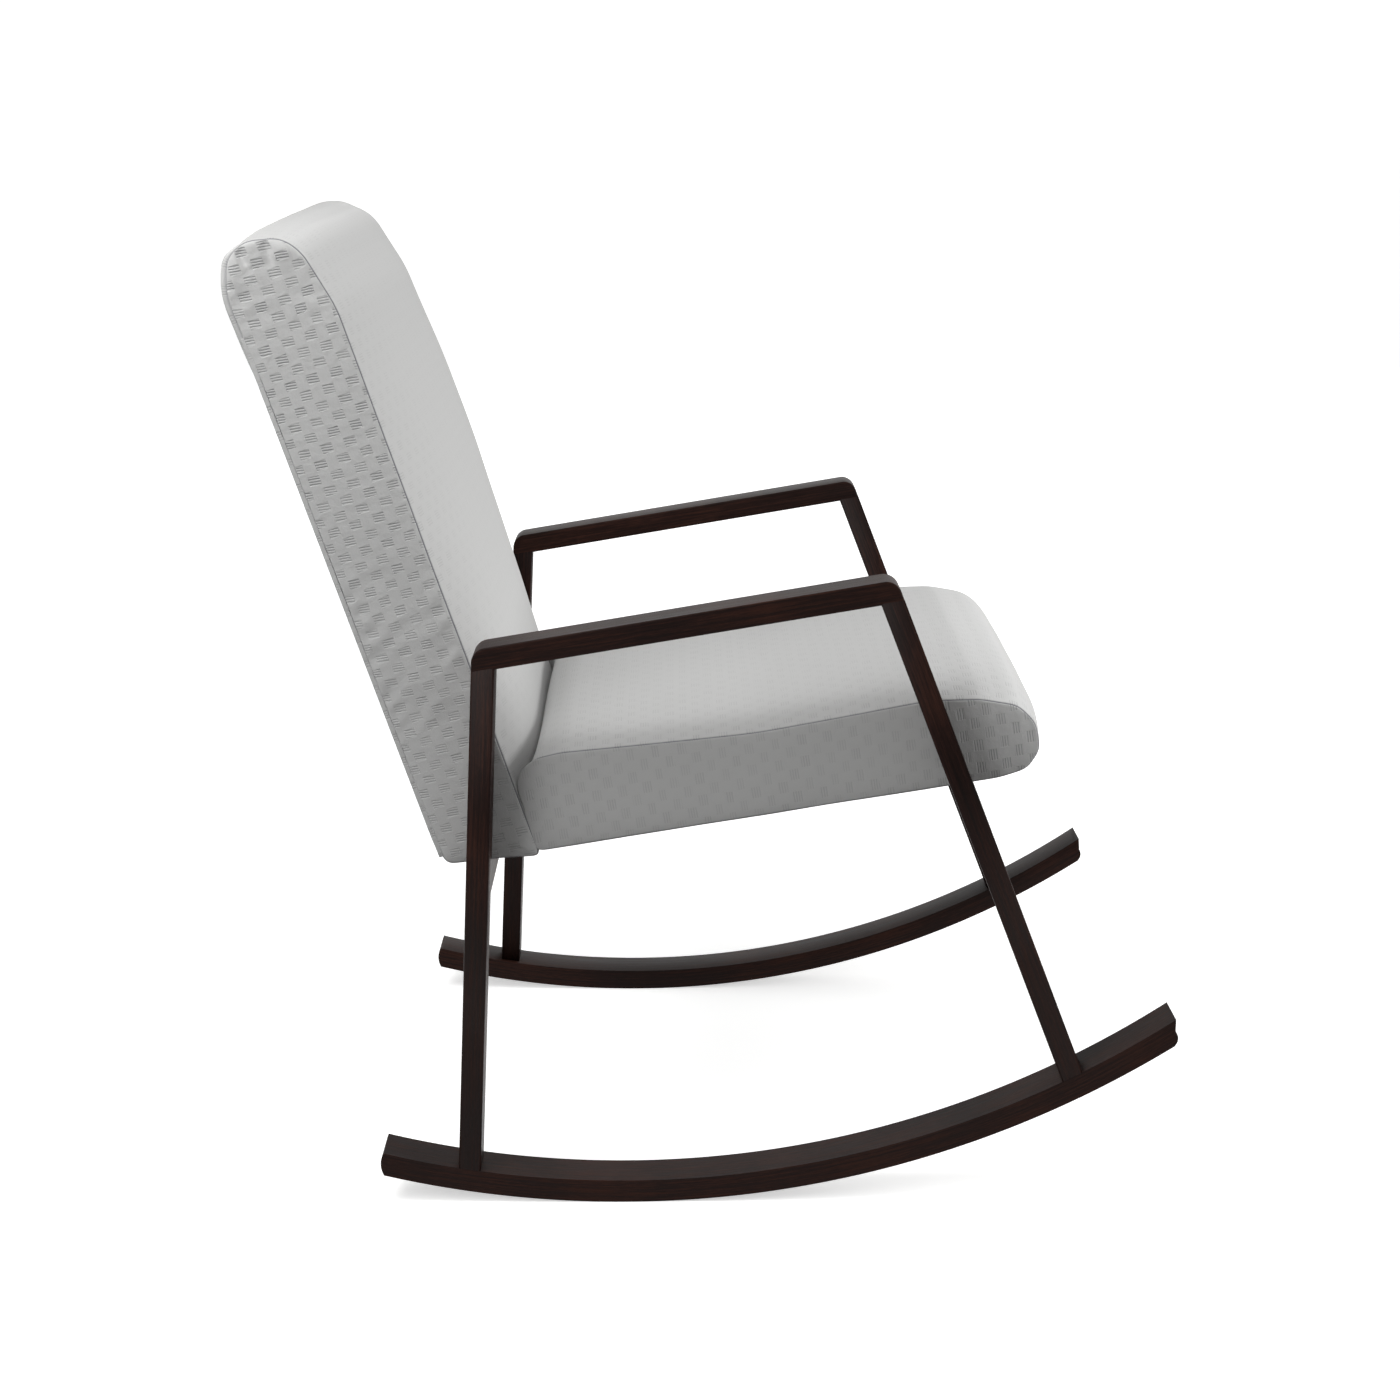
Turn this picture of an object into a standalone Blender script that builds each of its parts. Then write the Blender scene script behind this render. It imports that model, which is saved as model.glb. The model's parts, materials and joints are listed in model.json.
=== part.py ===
"""Rocking chair: two dark wood side frames on curved runners, with an upholstered seat and back.

The chair faces +X and is symmetric about the XZ plane. It stands as it rests when nobody sits
in it: the runners touch the floor under CONTACT, and Z = 0 is the floor.
Side outlines are drawn as (x, z) points and extruded across the chair, along Y.
"""

import math

import bmesh
import bpy
from mathutils import Matrix, Vector

# ---------------------------------------------------------------- driving dimensions (metres)
GAP = 0.0003  # clearance kept between touching pieces
FLAT_ANGLE = 1e-4  # faces closer to flat than this are one face
MERGE_DISTANCE = 1e-5  # points nearer than this are one point
OUTER_WIDTH = 0.620  # across the two side frames

# Runners: a band bent to a circle; its lowest point is the contact point, x = 0 before the shift.
RUNNER_RADIUS = 0.984  # of the underside
RUNNER_THICK = 0.0235
RUNNER_WIDTH = 0.046
RUNNER_REAR_REACH = 0.2415  # from the contact point back to the rear end
RUNNER_FRONT_REACH = 0.5485  # and forward to the front end
RUNNER_FACET = math.radians(1.6)
RUNNER_CENTRE_Z = RUNNER_RADIUS * math.cos(RUNNER_FACET / 2)  # one facet lies flat on the floor
RUNNER_END_BULGE = 0.003

# Legs and armrest, all of one section.
MEMBER_WIDTH = 0.040
MEMBER_THICK = 0.0222
REAR_LEG_X = -0.1425  # centre line at LEG_REFERENCE_Z
FRONT_LEG_X = 0.3832
LEG_REFERENCE_Z = 0.300
REAR_LEG_LEAN = math.radians(-2.77)  # forward at the top
FRONT_LEG_LEAN = math.radians(21.35)  # backward at the top
ARM_MID = (0.060, 0.5953)
ARM_SLOPE = math.radians(9.51)
ARM_CORNER_RADIUS = 0.015
WOOD_EASE = 0.0015
EASED_ANGLE = math.radians(40)  # edges sharper than this are eased
CROSS_DOWEL_REACH = (0.020, 0.015)  # into the rail, and into the leg

# Upholstered body.
BODY_HALF_WIDTH = 0.262
COVER_THICK = 0.002
COVER_EDGE = 0.0012
FOAM_CLEAR = 0.001  # between the foam and the cover's inner face
FRAME_SETBACK = 0.0046  # from the open side of a cover to the timber in it
RAIL_THICK = 0.022
SEAT_CORNER = (-0.083, 0.3575)  # lower rear corner of the seat
SEAT_SLOPE = math.radians(9.43)
SEAT_LENGTH = 0.504
SEAT_THICK = 0.087
SEAT_FALL_START = 0.410  # from the rear; the top falls away to the nose in front of it
SEAT_NOSE_HEIGHT = 0.066  # where the nose reaches furthest forward
SEAT_NOSE_BULGE = 0.003
SEAT_RAIL_HEIGHT = 0.041
SEAT_REAR_CLEAR = 0.001  # between the seat and the back
SEAT_FRAME_FRONT_INSET = 0.040  # from the nose back to the timber
BACK_CORNER = (-0.0815, 0.3525)  # lower front corner of the back
BACK_RECLINE = math.radians(18.5)
BACK_HEIGHT = 0.6525
BACK_THICK = 0.098
BACK_FRONT_TOP = 0.612  # where the front face starts to roll over
BACK_ROLL_DEPTH = 0.030
BACK_ROLL_TOP = 0.6465
BACK_FLOOR_RISE = 0.0225  # the back's underside rises to the rear, in its own frame
BACK_STILE_DEPTH = 0.060
BACK_FRAME_RISE = 0.006  # of the timber above the cover's floor
BACK_FRAME_TOP_INSET = 0.062
BACK_RAIL_HEIGHT = 0.045
BACK_STRAP_START = 0.070  # above the foot of the timber
PANEL_EDGE_INSET = 0.002
PANEL_EASE = 0.003
BACK_PANEL_THICK = 0.005
STRAP_WIDTH = 0.050
STRAP_THICK = 0.002
STRAP_END_INSET = 0.012
STRAP_ROW_INSET = 0.020
FOAM_SIDE_INSET = 0.004
FOAM_HEEL_RISE = 0.004
SHEET_THICK = 0.0015
SHEET_SIDE_INSET = 0.008
SHEET_REAR_INSET = 0.006
SHEET_FRONT_INSET = 0.032

# Cross rail between the rear legs, just under the back.
CROSS_RAIL_FRONT_X = -0.1335
CROSS_RAIL_THICK = 0.018
CROSS_RAIL_Z = (0.3035, 0.3405)

# Fasteners and dowels.
DOWEL_RADIUS = 0.004
DOWEL_HALF_LENGTH = 0.011
BOLT_RADIUS = 0.003
BOLT_HEAD_RADIUS = 0.0065
BOLT_HEAD_THICK = 0.004
BOLT_TIP_SETBACK = 0.002  # from the end of the insert
INSERT_RADIUS = 0.0055
INSERT_LENGTH = 0.018
SPACER_RADIUS = 0.010
FRONT_BOLT_Z = 0.460
REAR_BOLT_Z = 0.376
ROUND_SIDES = 12

SIDES = {"left": 1, "right": -1}  # the sitter's left is +Y


# ---------------------------------------------------------------- scene and collections
def clear_scene():
    for obj in list(bpy.data.objects):
        bpy.data.objects.remove(obj, do_unlink=True)


def new_collection(name):
    collection = bpy.data.collections.new(name)
    bpy.context.scene.collection.children.link(collection)
    return collection


def new_material(name, colour, roughness, metallic=0.0):
    material = bpy.data.materials.new(name)
    material.use_nodes = True
    shader = material.node_tree.nodes["Principled BSDF"]
    shader.inputs["Base Color"].default_value = (*colour, 1.0)
    shader.inputs["Roughness"].default_value = roughness
    shader.inputs["Metallic"].default_value = metallic
    return material


def new_datum(name, location, pitch, parent=None):
    """An empty that carries a group of pieces: pitch tips its X axis up."""
    datum = bpy.data.objects.new(name, None)
    chair.objects.link(datum)
    datum.parent = parent
    datum.location = (location[0], 0.0, location[1])
    datum.rotation_euler = (0.0, -pitch, 0.0)
    return datum


# ---------------------------------------------------------------- plane geometry
def along(origin, angle, distance):
    return (origin[0] + distance * math.cos(angle), origin[1] + distance * math.sin(angle))


def crossing(point_a, angle_a, point_b, angle_b):
    """Where two lines in the XZ plane meet, each given by a point and a direction angle."""
    dx = point_b[0] - point_a[0]
    dz = point_b[1] - point_a[1]
    turn = math.sin(angle_b - angle_a)
    reach = (dx * math.sin(angle_b) - dz * math.cos(angle_b)) / turn
    return along(point_a, angle_a, reach)


def rounded(corners, steps=5):
    """An outline from (x, z, radius) corners: each corner becomes an arc of that radius."""
    points = []
    count = len(corners)
    for index, (x, z, radius) in enumerate(corners):
        here = Vector((x, z))
        before = (Vector(corners[index - 1][:2]) - here).normalized()
        after = (Vector(corners[(index + 1) % count][:2]) - here).normalized()
        if radius == 0.0:
            points.append((x, z))
            continue
        half = before.angle(after) / 2
        centre = here + (before + after).normalized() * radius / math.sin(half)
        start = here + before * radius / math.tan(half) - centre
        end = here + after * radius / math.tan(half) - centre
        sweep = start.angle_signed(end)
        for step in range(steps + 1):
            spoke = start.copy()
            spoke.rotate(Matrix.Rotation(-sweep * step / steps, 2))
            points.append(tuple(centre + spoke))
    return points


def inset(outline, distance):
    """A counter-clockwise outline moved inwards by distance, with mitred corners."""
    lines = []
    for index, point in enumerate(outline):
        following = outline[(index + 1) % len(outline)]
        angle = math.atan2(following[1] - point[1], following[0] - point[0])
        lines.append((along(point, angle + math.pi / 2, distance), angle))
    return [
        crossing(*lines[index - 1], *lines[index])
        if abs(math.sin(lines[index][1] - lines[index - 1][1])) > 1e-6
        else lines[index][0]
        for index in range(len(lines))
    ]


def clipped(outline, least_x):
    """The part of an outline that lies in front of least_x."""
    kept = []
    for index, point in enumerate(outline):
        previous = outline[index - 1]
        if (point[0] > least_x) != (previous[0] > least_x):
            share = (least_x - previous[0]) / (point[0] - previous[0])
            kept.append((least_x, previous[1] + share * (point[1] - previous[1])))
        if point[0] > least_x:
            kept.append(point)
    return kept


def to_world(datum_corner, pitch, point):
    """A point of a tipped frame, in the chair's own XZ plane."""
    forward = along(datum_corner, pitch, point[0])
    return along(forward, pitch + math.pi / 2, point[1])


# ---------------------------------------------------------------- piece makers
def finish_piece(obj, material, datum):
    obj.data.materials.clear()
    obj.data.materials.append(material)
    obj.parent = datum
    return obj


def prism(name, outline, y_low, y_high, material, datum):
    """A solid of an XZ outline between two Y planes: a filled 2D curve made into a mesh."""
    curve = bpy.data.curves.new(name + "_outline", "CURVE")
    curve.dimensions = "2D"
    curve.fill_mode = "BOTH"
    curve.extrude = (y_high - y_low) / 2
    spline = curve.splines.new("POLY")
    spline.points.add(len(outline) - 1)
    for spline_point, (x, z) in zip(spline.points, outline):
        spline_point.co = (x, z, 0.0, 1.0)
    spline.use_cyclic_u = True
    drawing = bpy.data.objects.new(name + "_outline", curve)
    chair.objects.link(drawing)
    bpy.context.view_layer.update()
    graph = bpy.context.evaluated_depsgraph_get()
    mesh = bpy.data.meshes.new_from_object(drawing.evaluated_get(graph))
    bpy.data.objects.remove(drawing)
    welded = bmesh.new()
    welded.from_mesh(mesh)
    bmesh.ops.remove_doubles(welded, verts=welded.verts, dist=MERGE_DISTANCE)
    edges = welded.edges
    bmesh.ops.dissolve_limit(welded, angle_limit=FLAT_ANGLE, verts=welded.verts, edges=edges)
    bmesh.ops.recalc_face_normals(welded, faces=welded.faces)
    welded.to_mesh(mesh)
    welded.free()
    obj = bpy.data.objects.new(name, mesh)
    chair.objects.link(obj)
    obj.location = (0.0, (y_low + y_high) / 2, 0.0)
    obj.rotation_euler = (math.pi / 2, 0.0, 0.0)
    return finish_piece(obj, material, datum)


def box(name, low, high, material, datum):
    bm = bmesh.new()
    bmesh.ops.create_cube(bm, size=1.0)
    size = [b - a for a, b in zip(low, high)]
    bmesh.ops.scale(bm, vec=size, verts=bm.verts)
    mesh = bpy.data.meshes.new(name)
    bm.to_mesh(mesh)
    bm.free()
    obj = bpy.data.objects.new(name, mesh)
    chair.objects.link(obj)
    obj.location = [(a + b) / 2 for a, b in zip(low, high)]
    return finish_piece(obj, material, datum)


def ease_edges(obj, width, segments=1):
    bevel = obj.modifiers.new("eased_edges", "BEVEL")
    bevel.width = width
    bevel.segments = segments
    bevel.limit_method = "ANGLE"
    bevel.angle_limit = EASED_ANGLE


def placed_along(obj, start, end):
    """Turns a piece made along Z, from 0 up, to run from start towards end."""
    direction = Vector(end) - Vector(start)
    obj.location = start
    obj.rotation_euler = direction.to_track_quat("Z", "Y").to_euler()


def turned(name, profile, start, end, material, datum, closed=False):
    """A turned piece: its (radius, height) profile runs down the outer side."""
    mesh = bpy.data.meshes.new(name)
    edges = [(i, i + 1) for i in range(len(profile) - 1)]
    if closed:
        edges.append((len(profile) - 1, 0))
    mesh.from_pydata([(radius, 0.0, height) for radius, height in profile], edges, [])
    obj = bpy.data.objects.new(name, mesh)
    chair.objects.link(obj)
    screw = obj.modifiers.new("turning", "SCREW")
    screw.axis = "Z"
    screw.steps = ROUND_SIDES
    screw.render_steps = ROUND_SIDES
    screw.use_merge_vertices = True
    screw.merge_threshold = MERGE_DISTANCE
    placed_along(obj, start, end)
    return finish_piece(obj, material, datum)


def rod(name, start, end, radius, material, datum):
    length = (Vector(end) - Vector(start)).length
    profile = [(0.0, length), (radius, length), (radius, 0.0), (0.0, 0.0)]
    return turned(name, profile, start, end, material, datum)


def hide_cutter(cutter):
    chair.objects.unlink(cutter)
    cutters.objects.link(cutter)
    cutter.hide_render = True
    cutter.display_type = "WIRE"


def bore(targets, start, end, radius, datum):
    """A round hole through the targets, a clearance wider than what passes it."""
    name = "cutter_" + str(len(cutters.objects))
    cutter = rod(name, start, end, radius + GAP, hidden, datum)
    hide_cutter(cutter)
    for target in targets:
        cut = target.modifiers.new("bore", "BOOLEAN")
        cut.operation = "DIFFERENCE"
        cut.solver = "EXACT"
        cut.object = cutter


# ---------------------------------------------------------------- side frame outlines
def runner_outline():
    """The bent band, with one facet of its underside centred on the contact point."""
    inner = RUNNER_RADIUS - RUNNER_THICK
    rear = -math.asin(RUNNER_REAR_REACH / RUNNER_RADIUS)
    front = math.asin(RUNNER_FRONT_REACH / RUNNER_RADIUS)
    rear_top = -math.asin(RUNNER_REAR_REACH / inner)
    front_top = math.asin(RUNNER_FRONT_REACH / inner)

    def at(angle, radius):
        return (radius * math.sin(angle), RUNNER_CENTRE_Z - radius * math.cos(angle))

    def stations(first, last):
        half = RUNNER_FACET / 2
        low = math.ceil((first - half) / RUNNER_FACET + 0.3)
        high = math.floor((last - half) / RUNNER_FACET - 0.3)
        inside = [half + RUNNER_FACET * step for step in range(low, high + 1)]
        return [first] + inside + [last]

    def end_arc(lower, upper, way):
        bulge = []
        for share in (0.25, 0.5, 0.75):
            x = lower[0] + (upper[0] - lower[0]) * share
            z = lower[1] + (upper[1] - lower[1]) * share
            bulge.append((x + way * RUNNER_END_BULGE * 4 * share * (1 - share), z))
        return bulge

    underside = [at(angle, RUNNER_RADIUS) for angle in stations(rear, front)]
    top = [at(angle, inner) for angle in reversed(stations(rear_top, front_top))]
    front_end = end_arc(underside[-1], top[0], 1)
    rear_end = end_arc(underside[0], top[-1], -1)
    return underside + front_end + top + rear_end[::-1]


def leg_axis(x, lean):
    """A point on the leg's centre line and the direction it runs in, upwards."""
    return (x, LEG_REFERENCE_Z), math.pi / 2 + lean


def leg_foot(x, lean):
    """Where the leg's centre line meets the runner's top face, and the face's slope there."""
    point, angle = leg_axis(x, lean)
    inner = RUNNER_RADIUS - RUNNER_THICK
    ox = point[0]
    oz = point[1] - RUNNER_CENTRE_Z
    dx = math.cos(angle)
    dz = math.sin(angle)
    half_b = ox * dx + oz * dz
    reach = -half_b - math.sqrt(half_b * half_b - (ox * ox + oz * oz - inner * inner))
    foot = along(point, angle, reach)
    return foot, math.asin(foot[0] / inner)


def leg_outline(x, lean):
    """Foot cut along the runner, top cut along the armrest's underside."""
    point, angle = leg_axis(x, lean)
    foot, foot_slope = leg_foot(x, lean)
    foot = along(foot, foot_slope + math.pi / 2, GAP)
    head = along(ARM_MID, ARM_SLOPE - math.pi / 2, MEMBER_THICK / 2 + GAP)
    rear = along(point, angle + math.pi / 2, MEMBER_THICK / 2)
    front = along(point, angle - math.pi / 2, MEMBER_THICK / 2)
    return [
        crossing(rear, angle, foot, foot_slope),
        crossing(front, angle, foot, foot_slope),
        crossing(front, angle, head, ARM_SLOPE),
        crossing(rear, angle, head, ARM_SLOPE),
    ]


def arm_outline():
    """Ends flush with the legs' outer faces, upper corners rounded."""
    rear_point, rear_angle = leg_axis(REAR_LEG_X, REAR_LEG_LEAN)
    front_point, front_angle = leg_axis(FRONT_LEG_X, FRONT_LEG_LEAN)
    rear = along(rear_point, rear_angle + math.pi / 2, MEMBER_THICK / 2)
    front = along(front_point, front_angle - math.pi / 2, MEMBER_THICK / 2)
    under = along(ARM_MID, ARM_SLOPE - math.pi / 2, MEMBER_THICK / 2)
    over = along(ARM_MID, ARM_SLOPE + math.pi / 2, MEMBER_THICK / 2)
    corners = [
        (*crossing(rear, rear_angle, under, ARM_SLOPE), 0.0),
        (*crossing(front, front_angle, under, ARM_SLOPE), 0.0),
        (*crossing(front, front_angle, over, ARM_SLOPE), ARM_CORNER_RADIUS),
        (*crossing(rear, rear_angle, over, ARM_SLOPE), ARM_CORNER_RADIUS),
    ]
    return rounded(corners)


# ---------------------------------------------------------------- upholstery outlines
def seat_outline():
    """Seen from the chair's right side, in the seat's own frame: flat under, with a bull nose."""
    rear_lean = BACK_RECLINE - SEAT_SLOPE
    return rounded(
        [
            (SEAT_REAR_CLEAR, 0.0, 0.009),
            (SEAT_LENGTH, 0.0, 0.024),
            (SEAT_LENGTH + SEAT_NOSE_BULGE, SEAT_NOSE_HEIGHT, 0.028),
            (SEAT_FALL_START, SEAT_THICK, 0.060),
            (SEAT_REAR_CLEAR - math.tan(rear_lean) * SEAT_THICK, SEAT_THICK, 0.010),
        ]
    )


def back_outline():
    """In the back's own frame: X towards the sitter, Z up the back, top corners rounded."""
    return rounded(
        [
            (-BACK_THICK, BACK_FLOOR_RISE, 0.012),
            (0.0, 0.0, 0.009),
            (0.0, BACK_FRONT_TOP, 0.050),
            (-BACK_ROLL_DEPTH, BACK_ROLL_TOP, 0.036),
            (-BACK_THICK, BACK_HEIGHT, 0.046),
        ],
        steps=6,
    )


def chair_shift():
    """Moves the contact point so that the origin is under the middle of the chair's length."""
    rearmost = min(to_world(BACK_CORNER, BACK_RECLINE, point)[0] for point in back_outline())
    foremost = max(point[0] for point in runner_outline())
    return -(rearmost + foremost) / 2


# ---------------------------------------------------------------- side frames
def ends_about(joint, angle, reach, y):
    """Two points of one Y plane, a reach either side of a joint."""
    low = along(joint, angle, -reach)
    high = along(joint, angle, reach)
    return (low[0], y, low[1]), (high[0], y, high[1])


def build_side_frame(side, sign):
    outer = sign * OUTER_WIDTH / 2
    member = sorted((outer, outer - sign * MEMBER_WIDTH))
    band = sorted((outer, outer - sign * RUNNER_WIDTH))
    middle = outer - sign * MEMBER_WIDTH / 2
    arm = prism("armrest_" + side, arm_outline(), *member, wood, chair_datum)
    runner = prism("runner_" + side, runner_outline(), *band, wood, chair_datum)
    legs = {}
    for place, x, lean in (
        ("rear", REAR_LEG_X, REAR_LEG_LEAN),
        ("front", FRONT_LEG_X, FRONT_LEG_LEAN),
    ):
        leg = prism(f"{place}_leg_{side}", leg_outline(x, lean), *member, wood, chair_datum)
        legs[place] = leg
        point, angle = leg_axis(x, lean)
        under = along(ARM_MID, ARM_SLOPE - math.pi / 2, MEMBER_THICK / 2)
        head = crossing(point, angle, under, ARM_SLOPE)
        foot, _ = leg_foot(x, lean)
        for end, joint, other in (("arm", head, arm), ("foot", foot, runner)):
            ends = ends_about(joint, angle, DOWEL_HALF_LENGTH, middle)
            rod(f"{place}_{end}_dowel_{side}", *ends, DOWEL_RADIUS, beech, chair_datum)
            hole = ends_about(joint, angle, DOWEL_HALF_LENGTH + 2 * GAP, middle)
            bore([leg, other], *hole, DOWEL_RADIUS, chair_datum)
    for obj in (arm, runner, legs["rear"], legs["front"]):
        ease_edges(obj, WOOD_EASE)
        obj.modifiers.move(len(obj.modifiers) - 1, 0)
    return legs


def build_cross_rail(rear_legs):
    inner = OUTER_WIDTH / 2 - MEMBER_WIDTH
    low_z, high_z = CROSS_RAIL_Z
    rear_x = CROSS_RAIL_FRONT_X - CROSS_RAIL_THICK
    low = (rear_x, -inner + GAP, low_z)
    high = (CROSS_RAIL_FRONT_X, inner - GAP, high_z)
    rail = box("rear_cross_rail", low, high, wood, chair_datum)
    x = (rear_x + CROSS_RAIL_FRONT_X) / 2
    z = (low_z + high_z) / 2
    for side, sign in SIDES.items():
        ends = [sign * (inner - CROSS_DOWEL_REACH[0]), sign * (inner + CROSS_DOWEL_REACH[1])]
        start, stop = [(x, y, z) for y in ends]
        rod("cross_rail_dowel_" + side, start, stop, DOWEL_RADIUS, beech, chair_datum)
        start, stop = [(x, y + way * 2 * GAP, z) for y, way in zip(ends, (-sign, sign))]
        bore([rail, rear_legs[side]], start, stop, DOWEL_RADIUS, chair_datum)
    ease_edges(rail, WOOD_EASE)
    rail.modifiers.move(len(rail.modifiers) - 1, 0)


# ---------------------------------------------------------------- seat and back
def hollow_cover(name, outline, open_axis, datum):
    """A sewn cover: a prism hollowed by its inset, and left open at its lowest end along open_axis."""
    half = BODY_HALF_WIDTH
    cover = prism(name, outline, -half, half, fabric, datum)
    ease_edges(cover, COVER_EDGE)
    core = inset(outline, COVER_THICK)
    floor = min(point[open_axis] for point in core)
    through = []
    for point in core:
        moved = list(point)
        if point[open_axis] < floor + MERGE_DISTANCE:
            moved[open_axis] -= 5 * COVER_THICK
        through.append(tuple(moved))
    inner_half = half - COVER_THICK
    cutter = prism("cutter_" + name, through, -inner_half, inner_half, hidden, datum)
    hide_cutter(cutter)
    hollow = cover.modifiers.new("hollow", "BOOLEAN")
    hollow.operation = "DIFFERENCE"
    hollow.solver = "EXACT"
    hollow.object = cutter
    return cover


def strap_set(name, count, low, high, axis, datum):
    """Flat webbing straps spread evenly along one axis between the low and high corners."""
    pitch = (high[axis] - low[axis]) / count
    for index in range(count):
        centre = low[axis] + pitch * (index + 0.5)
        strap_low = list(low)
        strap_high = list(high)
        strap_low[axis] = centre - STRAP_WIDTH / 2
        strap_high[axis] = centre + STRAP_WIDTH / 2
        box(f"{name}_{index + 1}", strap_low, strap_high, webbing, datum)


def build_seat():
    """Cover, foam, webbing and timber frame, from the top down, closed by a dust cover."""
    inside = BODY_HALF_WIDTH - COVER_THICK - GAP
    outline = seat_outline()
    cover = hollow_cover("seat_cover", outline, 1, seat_datum)
    rail_low = FRAME_SETBACK
    rail_high = rail_low + SEAT_RAIL_HEIGHT
    rear = SEAT_REAR_CLEAR + COVER_THICK + 2 * GAP
    front = SEAT_LENGTH - SEAT_FRAME_FRONT_INSET
    rear_low = (rear, -inside, rail_low)
    box("seat_rear_rail", rear_low, (rear + RAIL_THICK, inside, rail_high), timber, seat_datum)
    front_low = (front - RAIL_THICK, -inside, rail_low)
    box("seat_front_rail", front_low, (front, inside, rail_high), timber, seat_datum)
    side_rails = {}
    for side, sign in SIDES.items():
        y_low, y_high = sorted((sign * inside, sign * (inside - RAIL_THICK)))
        low = (rear + RAIL_THICK + GAP, y_low, rail_low)
        high = (front - RAIL_THICK - GAP, y_high, rail_high)
        side_rails[side] = box("seat_side_rail_" + side, low, high, timber, seat_datum)
    strap_low = rail_high + GAP
    strap_high = strap_low + STRAP_THICK
    span = inside - STRAP_END_INSET
    strap_rear = (rear + STRAP_ROW_INSET, -span, strap_low)
    strap_front = (front - STRAP_ROW_INSET, span, strap_high)
    strap_set("seat_strap", 4, strap_rear, strap_front, 0, seat_datum)
    skin = inset(outline, COVER_THICK + FOAM_CLEAR)
    foam_low = strap_high + GAP
    nose = front + GAP
    foam_rear = rear - foam_low * math.tan(BACK_RECLINE - SEAT_SLOPE)
    foam_nose = [p for p in skin if p[0] > nose and p[1] < foam_low]
    foam_top = [p for p in skin if p[1] >= foam_low and (p[0] > nose or p[1] > foam_low + 0.005)]
    foam = [(foam_rear, foam_low), (nose, foam_low), (nose, rail_low), *foam_nose, *foam_top]
    foam_half = inside - FOAM_SIDE_INSET
    prism("seat_foam", foam, -foam_half, foam_half, polyether, seat_datum)
    edge = inside - SHEET_SIDE_INSET
    sheet_low = (rear + SHEET_REAR_INSET, -edge, GAP)
    sheet_high = (SEAT_LENGTH - SHEET_FRONT_INSET, edge, SHEET_THICK)
    box("seat_dust_cover", sheet_low, sheet_high, dust_cloth, seat_datum)
    return cover, side_rails


def build_back():
    """Cover, foam, webbing and timber frame, from the front backwards, closed by a rear panel."""
    inside = BODY_HALF_WIDTH - COVER_THICK - GAP
    seam_x = -BACK_THICK + BACK_PANEL_THICK + GAP
    outline = back_outline()
    cover = hollow_cover("back_cover", clipped(outline, seam_x), 0, back_datum)

    frame_rear = seam_x + FRAME_SETBACK
    frame_front = frame_rear + BACK_STILE_DEPTH
    low_z = BACK_FLOOR_RISE + BACK_FRAME_RISE
    high_z = BACK_HEIGHT - BACK_FRAME_TOP_INSET
    stiles = {}
    for side, sign in SIDES.items():
        y_low, y_high = sorted((sign * inside, sign * (inside - RAIL_THICK)))
        low = (frame_rear, y_low, low_z)
        high = (frame_front, y_high, high_z)
        stiles[side] = box("back_stile_" + side, low, high, timber, back_datum)
    between = inside - RAIL_THICK - GAP
    for place, z in (("bottom", low_z), ("top", high_z - BACK_RAIL_HEIGHT)):
        low = (frame_rear, -between, z)
        high = (frame_rear + RAIL_THICK, between, z + BACK_RAIL_HEIGHT)
        box(f"back_{place}_rail", low, high, timber, back_datum)
    strap_rear = frame_front + GAP
    strap_front = strap_rear + STRAP_THICK
    span = inside - STRAP_END_INSET
    strap_low = (strap_rear, -span, low_z + BACK_STRAP_START)
    strap_set("back_strap", 4, strap_low, (strap_front, span, high_z), 2, back_datum)
    skin = inset(outline, COVER_THICK + FOAM_CLEAR)
    foam_rear = strap_front + GAP
    over = high_z + GAP
    foam_low = FOAM_HEEL_RISE - foam_rear * BACK_FLOOR_RISE / BACK_THICK
    front_side = [p for p in skin if p[1] < over / 2 and p[0] > -2 * COVER_THICK - FOAM_CLEAR * 2]
    crown = [p for p in skin if p[1] > over + FOAM_CLEAR and p[0] > frame_rear]
    foam = [(foam_rear, foam_low), *front_side, *crown, (frame_rear, over), (foam_rear, over)]
    foam_half = inside - FOAM_SIDE_INSET
    prism("back_foam", foam, -foam_half, foam_half, polyether, back_datum)

    rear_edge = [p[1] for p in outline if p[0] < seam_x]
    edge = BODY_HALF_WIDTH - PANEL_EDGE_INSET
    low = (-BACK_THICK, -edge, min(rear_edge) + GAP)
    high = (seam_x - 2 * GAP, edge, max(rear_edge) - PANEL_EDGE_INSET)
    panel = box("back_rear_panel", low, high, fabric, back_datum)
    ease_edges(panel, PANEL_EASE)
    return cover, stiles


# ---------------------------------------------------------------- fasteners
def bolt_profile(length):
    """A pan-head bolt lying from its head at 0 to its tip at length."""
    return [
        (0.0, length),
        (BOLT_RADIUS, length),
        (BOLT_RADIUS, BOLT_HEAD_THICK),
        (BOLT_HEAD_RADIUS, BOLT_HEAD_THICK),
        (BOLT_HEAD_RADIUS, 0.0),
        (0.0, 0.0),
    ]


def ring_profile(outer, inner, length):
    return [(outer, length), (outer, 0.0), (inner, 0.0), (inner, length)]


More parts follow.
